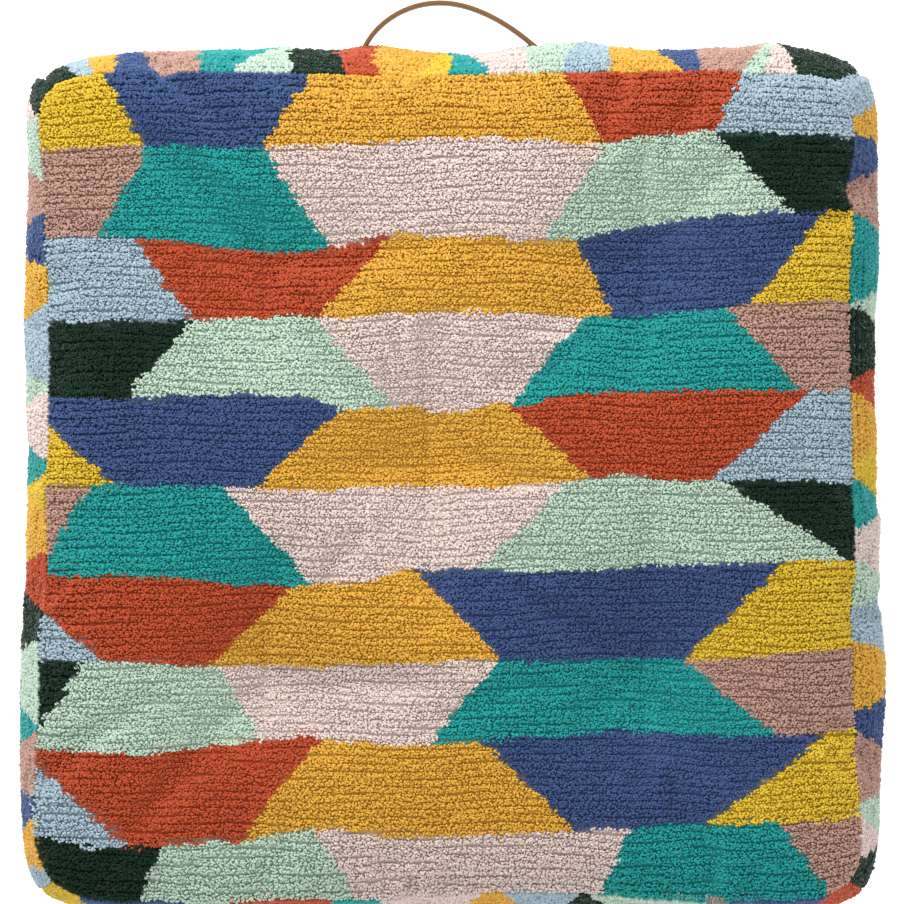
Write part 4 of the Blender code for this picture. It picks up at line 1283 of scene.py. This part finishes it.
@dataclass
class Stitches:
    """A sewn row: one modelled stitch copied along its path."""
    length: float = 3.4 * MM
    spacing: float = 4.6 * MM
    radius: float = 0.35 * MM

    def template(self) -> bpy.types.Object:
        """Models one stitch of thread, thicker in the middle, lying along X.

        Returns:
            The stitch, about the origin.
        """
        stitch = edit_new(bpy.ops.mesh.primitive_cylinder_add, "stitch", vertices=6, radius=self.radius,
                          depth=self.length * 0.5)
        bpy.ops.transform.rotate(value=math.radians(90), orient_axis="Y", center_override=(0, 0, 0))
        for way in (1, -1):
            pick_faces(stitch, Vector((way, 0, 0)))
            bpy.ops.mesh.extrude_region_move(TRANSFORM_OT_translate={"value": (way * self.length / 4, 0, 0)})
            bpy.ops.transform.resize(value=(1, 0.35, 0.35))
        return close_edit(stitch)

    def build(self, name: str, spots: np.ndarray, ahead: np.ndarray, out: np.ndarray) -> bpy.types.Object:
        """Copies the stitch to each spot.

        Args:
            name: The piece's name.
            spots: Where the stitches lie.
            ahead: Each stitch's direction.
            out: The cloth's outward direction at each stitch.

        Returns:
            The sewn row as one piece.
        """
        return copy_along(self.template(), name, spots, ahead, out)


def copy_along(template: bpy.types.Object, name: str, spots: np.ndarray, ahead: np.ndarray,
               out: np.ndarray) -> bpy.types.Object:
    """Copies a small modelled shape to many places, as one mesh, and removes the shape.

    Args:
        template: The shape, at the origin, with its length along X and its outer side along Z.
        name: The new piece's name.
        spots: Where the copies go.
        ahead: Each copy's X direction.
        out: Each copy's Z direction.

    Returns:
        The copies as one object.
    """
    template.data.calc_loop_triangles()
    shape = np.array([v.co for v in template.data.vertices])
    faces = np.array([t.vertices for t in template.data.loop_triangles])
    bpy.data.objects.remove(template, do_unlink=True)
    frames = np.stack([ahead, np.cross(out, ahead), out], 1)
    points = np.einsum("vk,nkc->nvc", shape, frames) + spots[:, None]
    numbers = faces[None] + (np.arange(len(spots)) * len(shape))[:, None, None]
    return mesh_object(name, points.reshape(-1, 3), numbers.reshape(-1, 3))


def tube(name: str, path: np.ndarray, radius: float, sides: int = 8) -> bpy.types.Object:
    """Sweeps a round section along a closed path that lies in one upright plane.

    Args:
        name: The object's name.
        path: The path's points.
        radius: The section's radius.
        sides: Sides of the section.

    Returns:
        The tube.
    """
    ahead = np.roll(path, -1, 0) - np.roll(path, 1, 0)
    ahead /= np.linalg.norm(ahead, axis=1, keepdims=True)
    across = np.array([1.0, 0.0, 0.0])
    inward = np.cross(ahead, across)
    angles = np.arange(sides) * 2 * math.pi / sides
    ring = (across * np.cos(angles)[:, None])[None] + inward[:, None] * np.sin(angles)[None, :, None]
    points = (path[:, None] + radius * ring).reshape(-1, 3)
    i, j = np.meshgrid(np.arange(len(path)), np.arange(sides), indexing="ij")
    k, l = (i + 1) % len(path), (j + 1) % sides
    faces = np.stack([i * sides + j, i * sides + l, k * sides + l, k * sides + j], -1).reshape(-1, 4)
    obj = mesh_object(name, points, faces)
    return obj


@dataclass
class BaseCloth:
    """The canvas base, with a row of stitches just inside the lower seam."""
    form: CoverForm
    thickness: float = 1.2 * MM
    depth: float = 0.3 * MM
    cells: int = 64
    seam_share: float = 0.997
    stitch_share: float = 0.955

    def surface(self, u: np.ndarray, v: np.ndarray) -> np.ndarray:
        """Points of the canvas's outer face."""
        return self.form.point(u, v, np.zeros_like(u), self.depth)

    def build(self) -> None:
        """Builds the canvas and its stitches."""
        line = np.linspace(-self.seam_share, self.seam_share, self.cells + 1)
        u, v = np.meshgrid(line, line, indexing="ij")
        index = np.arange(u.size).reshape(u.shape)
        faces = np.stack([index[:-1, :-1], index[:-1, 1:], index[1:, 1:], index[1:, :-1]], -1).reshape(-1, 4)
        canvas = mesh_object("base_canvas", self.surface(u.ravel(), v.ravel()), faces)
        thicken(canvas, self.thickness)
        cloth = WovenCloth("heavy_cotton_canvas", "#C9BEA2", "#B9AC8C", 0.9 * MM).material()
        finish_piece(canvas, cloth, "cushion", "canvas", "base_panel")
        count = round(2 * self.form.half_span * self.stitch_share / Stitches().spacing)
        along = (np.arange(count) + 0.5) / count * 2 * self.stitch_share - self.stitch_share
        edge = np.full(count, self.stitch_share)
        rows = ((along, edge), (along, -edge), (edge, along), (-edge, along))
        spots, ahead, out = [], [], []
        for u, v in rows:
            step = np.where(np.abs(u) == self.stitch_share, 0.0, 1e-3), np.where(
                np.abs(v) == self.stitch_share, 0.0, 1e-3)
            here, there = self.surface(u, v), self.surface(u + step[0], v + step[1])
            inner = self.surface(u * 0.99, v * 0.99)
            way = (there - here) / np.linalg.norm(there - here, axis=1, keepdims=True)
            normal = np.cross(way, inner - here)
            normal *= -np.sign(normal[:, 2:])
            spots.append(here)
            ahead.append(way)
            out.append(normal / np.linalg.norm(normal, axis=1, keepdims=True))
        stitches = Stitches().build("base_stitches", *(np.concatenate(a) for a in (spots, ahead, out)))
        # The thread's second colour is painted shade between its plies.
        finish_piece(stitches, TwistedTwine("sewing_thread", "#E4DAC0", "#A99C7C", 0.5 * MM).material(),
                     "cushion", "twine")


# ---- Insert and ties ----------------------------------------------------------------------------
@dataclass
class Insert:
    """The padded insert: its cotton case, its filling and the twine ties through both."""
    form: CoverForm
    case_depth: float = 18 * MM
    filling_depth: float = 25.5 * MM
    cells: int = 48
    rise_cells: int = 10
    twine_radius: float = 0.8 * MM
    stitch_sink: float = 4.6 * MM      # the pile closes over the stitch

    def build(self) -> None:
        """Builds the case, the filling and the ties."""
        case_nodes = [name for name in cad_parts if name.startswith("inner_case_")]
        for name, depth, material, slot, fill, nodes in (
                ("insert_case", self.case_depth,
                 WovenCloth("cotton_ticking", "#EFEBDD", "#DED8C6", 0.7 * MM).material(), "ticking", 0.9,
                 case_nodes),
                ("insert_filling", self.filling_depth, FibreFill().material(), "fibre", 0.8, ["filling"])):
            spots, faces, _ = self.form.shell(self.cells, self.rise_cells)
            u, v = (spots[:, :2] / self.cells * 2 - 1).T
            points = self.form.point(u, v, spots[:, 2] / self.rise_cells, depth)
            puckers = np.array([noise.noise(Vector(p) / (16 * MM)) for p in points]) * 0.6 * MM
            points = points * (1 - puckers / self.form.half_span)[:, None]
            pad = mesh_object(name, points, faces)
            finish_piece(pad, material, "cushion", slot, *nodes)
        twine = TwistedTwine().material()
        for name in sorted(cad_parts):
            if name.startswith("tie_"):
                self.build_tie(name, twine)

    def build_tie(self, name: str, twine: bpy.types.Material) -> None:
        """Builds one loop of twine, its stitch drawn down into the pile.

        Args:
            name: The CAD node that it stands for.
            twine: The twine's material.
        """
        low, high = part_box(name)
        x, y = (low.x + high.x) / 2, (low.y + high.y) / 2
        radius = self.twine_radius
        half = (high.y - low.y) / 2 - radius
        top = self.form.at(Panel.TOP, np.array([x]), np.array([y]), 0)[0, 2] - self.stitch_sink
        bottom, turn = low.z + radius, 2 * radius
        corners = ((half - turn, top - turn, 0), (turn - half, top - turn, 90),
                   (turn - half, bottom + turn, 180), (half - turn, bottom + turn, 270))
        path = [(x, y + cy + turn * math.cos(math.radians(start + step)),
                 cz + turn * math.sin(math.radians(start + step)))
                for cy, cz, start in corners for step in (0, 30, 60, 90)]
        finish_piece(tube(name + "_twine", np.array(path), radius), twine, "cushion", "twine", name)


# ---- Handle -------------------------------------------------------------------------------------
@dataclass
class StrapHandle:
    """The leather strap, arched from the handle's side, and what fastens it inside the cover."""
    thickness: float = 3.2 * MM
    edge_round: float = 0.7 * MM
    root_run: float = 4.5 * MM         # the strap's straight end inside the pile
    foot_step: float = 1.0 * MM
    left_pull: tuple[float, float] = (7 * MM, 18 * MM)
    right_pull: tuple[float, float] = (22 * MM, 20 * MM)
    peak_offset: float = -9 * MM
    peak_pulls: tuple[float, float] = (27 * MM, 25 * MM)
    stations: int = 14                 # on each half of the arch

    def route(self) -> list[Vector]:
        """Works out the strap's middle line.

        Returns:
            Points from the left root over the peak to the right root.
        """
        low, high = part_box("handle_strap")
        middle = (low.z + high.z) / 2
        half = (high.x - low.x) / 2 - self.thickness / 2 + self.foot_step
        start = low.y + self.root_run
        peak = Vector((self.peak_offset, high.y - self.thickness / 2, middle))
        left, right = Vector((-half, start, middle)), Vector((half - self.foot_step, start, middle))

        def arc(a: Vector, b: Vector, c: Vector, d: Vector) -> list[Vector]:
            """Points of a cubic curve."""
            steps = [i / self.stations for i in range(self.stations + 1)]
            return [a * (1 - t) ** 3 + b * 3 * t * (1 - t) ** 2 + c * 3 * t * t * (1 - t) + d * t ** 3
                    for t in steps]

        rising = arc(left, left + Vector((*self.left_pull, 0)),
                     peak - Vector((self.peak_pulls[0], 0, 0)), peak)
        falling = arc(peak, peak + Vector((self.peak_pulls[1], 0, 0)),
                      right + Vector((-self.right_pull[0], self.right_pull[1], 0)), right)
        return rising + falling[1:]

    def build(self) -> None:
        """Builds the strap and dresses the hidden fastenings."""
        route = self.route()
        low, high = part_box("handle_strap")
        width = high.z - low.z
        first = (route[1] - route[0]).normalized()
        strap = edit_new(bpy.ops.mesh.primitive_cube_add, "leather_strap", size=1.0)
        bpy.ops.transform.resize(value=(self.thickness, 1 * MM, width))
        turn = math.atan2(-first.x, first.y)
        bpy.ops.transform.rotate(value=-turn, orient_axis="Z", center_override=(0, 0, 0))
        bpy.ops.transform.translate(value=route[0] - first * 0.5 * MM)
        heading = first
        for before, here, after in zip(route, route[1:], route[2:] + [route[-1]]):
            pick_faces(strap, heading, before)
            bpy.ops.mesh.extrude_region_move(TRANSFORM_OT_translate={"value": here - before})
            new = (after - before).normalized() if after != here else (here - before).normalized()
            step = math.atan2(heading.x * new.y - heading.y * new.x, heading.dot(new))
            bpy.ops.transform.rotate(value=-step, orient_axis="Z", center_override=here)
            heading = new
        bpy.ops.object.mode_set(mode="OBJECT")
        bevel = strap.modifiers.new("worn_edges", "BEVEL")
        bevel.width = self.edge_round
        bevel.segments = 3
        bevel.limit_method = "ANGLE"
        bevel.angle_limit = math.radians(50)
        bpy.ops.object.modifier_apply(modifier="worn_edges")
        bpy.ops.object.shade_smooth_by_angle(angle=math.radians(40))
        leather = VegetableTannedLeather(half_width=width / 2, middle=(low.z + high.z) / 2).material()
        finish_piece(strap, leather, "handle", "leather", "handle_strap")
        webbing = WovenCloth("cotton_webbing", "#C7AE84", "#B0966A", 1.2 * MM, upright=True).material()
        dress_nodes(Brass().material(), "handle_rivet_", "handle_burr_")
        dress_nodes(leather, "handle_foot_")
        dress_nodes(webbing, "handle_backing")


# ---- Zip ----------------------------------------------------------------------------------------
@dataclass
class CoilZip:
    """The zip: two woven tapes, two nylon coils, brass stops, and the slider with its pull."""
    form: CoverForm
    link_pitch: float = 1.25 * MM
    filament: float = 0.36 * MM        # half the filament's thickness
    tape_thickness: float = 0.7 * MM
    tape_depth: float = 8.8 * MM
    tape_cells: tuple[int, int] = (160, 8)

    def link(self, depth: float, height: float) -> bpy.types.Object:
        """Models one loop of the coil, flattened to its size.

        Args:
            depth: The loop's size along its X.
            height: The loop's size along its Y.

        Returns:
            The loop, at the origin.
        """
        long, high = depth / 2 - self.filament, height / 2 - self.filament
        loop = edit_new(bpy.ops.mesh.primitive_torus_add, "coil_loop", major_segments=8, minor_segments=4,
                        major_radius=long, minor_radius=self.filament)
        bpy.ops.transform.resize(value=(1, high / long, 1))
        return close_edit(loop)

    def build(self) -> None:
        """Builds the tapes and coils and dresses the metal pieces."""
        cloth = WovenCloth("herringbone_zip_tape", "#B59C72", "#9C8258", 0.6 * MM, upright=True).material()
        nylon = ExtrudedNylon().material()
        for half in ("upper", "lower"):
            self.build_tape(half, cloth)
            low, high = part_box("zip_coil_" + half)
            size = high - low
            count = int(size.x / self.link_pitch)
            spots = np.empty((count, 3))
            spots[:, 0] = low.x + (np.arange(count) + 0.5) * size.x / count
            spots[:, 1:] = ((low.y + high.y) / 2, (low.z + high.z) / 2)
            lean = 0.25 if half == "upper" else -0.25
            ahead = np.tile((0.0, -1.0, 0.0), (count, 1))
            out = np.tile(np.array((math.cos(lean), 0.0, math.sin(lean))), (count, 1))
            coil = copy_along(self.link(size.y, size.z), f"zip_{half}_coil_loops", spots, ahead, out)
            finish_piece(coil, nylon, "cushion", "nylon", "zip_coil_" + half)
        dress_nodes(Brass("polished_brass", "#E2C078", "#B98F4A").material(), "zip_slider", "zip_pull",
                    "zip_stop_")

    def build_tape(self, half: str, cloth: bpy.types.Material) -> None:
        """Builds one tape as a sheet of cloth.

        Args:
            half: "upper" or "lower".
            cloth: The tape's material.
        """
        low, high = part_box("zip_tape_" + half)
        lift = self.form.base_lift
        columns = np.linspace(low.x, high.x, self.tape_cells[0] + 1)
        rows = np.linspace(low.z - lift, high.z - lift, self.tape_cells[1] + 1)
        across, up = (a.ravel() for a in np.meshgrid(columns, rows, indexing="ij"))
        rise = up / self.form.boxing_height
        points = self.form.point(across / self.form.half_span, -np.ones_like(across), rise, self.tape_depth)
        points[:, 2] = up + lift
        index = np.arange(across.size).reshape(self.tape_cells[0] + 1, -1)
        faces = np.stack([index[:-1, :-1], index[1:, :-1], index[1:, 1:], index[:-1, 1:]], -1).reshape(-1, 4)
        tape = mesh_object(f"zip_{half}_tape", points, faces)
        thicken(tape, self.tape_thickness)
        finish_piece(tape, cloth, "cushion", "zip_cloth", "zip_tape_" + half)


# ---- Studio -------------------------------------------------------------------------------------
@dataclass
class Studio:
    """A plain pale floor, soft light and a camera straight above the cushion."""
    view_width: float = 660.8 * MM     # at the cushion's middle height
    view_middle: tuple[float, float] = (0.0, 19.5 * MM)
    distance: float = 7.0
    floor_size: float = 14.0

    def build(self) -> None:
        """Builds the floor, the lights and the camera."""
        floor = edit_new(bpy.ops.mesh.primitive_plane_add, "studio_floor", size=self.floor_size)
        bpy.ops.mesh.subdivide(number_cuts=3)
        close_edit(floor)
        floor.data.materials.append(MattPaint().material())
        world = bpy.data.worlds.new("studio_light")
        world.use_nodes = True
        world.node_tree.nodes["Background"].inputs["Color"].default_value = (1, 1, 1, 1)
        world.node_tree.nodes["Background"].inputs["Strength"].default_value = 0.88
        scene = bpy.context.scene
        scene.world = world
        for name, place, size, power in (("back_softbox", (-0.9, 2.6, 1.9), 2.4, 124),
                                         ("front_softbox", (0.9, -2.2, 3.0), 2.5, 24)):
            light = bpy.data.lights.new(name, "AREA")
            light.size = size
            light.energy = power
            lamp = bpy.data.objects.new(name, light)
            lamp.location = place
            lamp.rotation_euler = (Vector((0, 0, 0.1)) - Vector(place)).to_track_quat("-Z", "Y").to_euler()
            scene.collection.objects.link(lamp)
        middle = sum(c[2] for c in CAD_BOX) / 2
        lens = bpy.data.cameras.new("overhead_camera")
        lens.sensor_width = 36.0
        lens.lens = 36.0 * (self.distance - middle) / self.view_width
        lens.clip_end = 50
        camera = bpy.data.objects.new("overhead_camera", lens)
        camera.location = (*self.view_middle, self.distance)
        scene.collection.objects.link(camera)
        scene.camera = camera
        scene.view_settings.view_transform = "Standard"


def main() -> None:
    """Builds the cushion and its studio, and reports each piece."""
    logging.basicConfig(level=logging.INFO, format="%(message)s")
    Studio().build()
    form = CoverForm()
    PileCover(form).build()
    BaseCloth(form).build()
    Insert(form).build()
    StrapHandle().build()
    CoilZip(form).build()


if __name__ == "__main__":
    main()
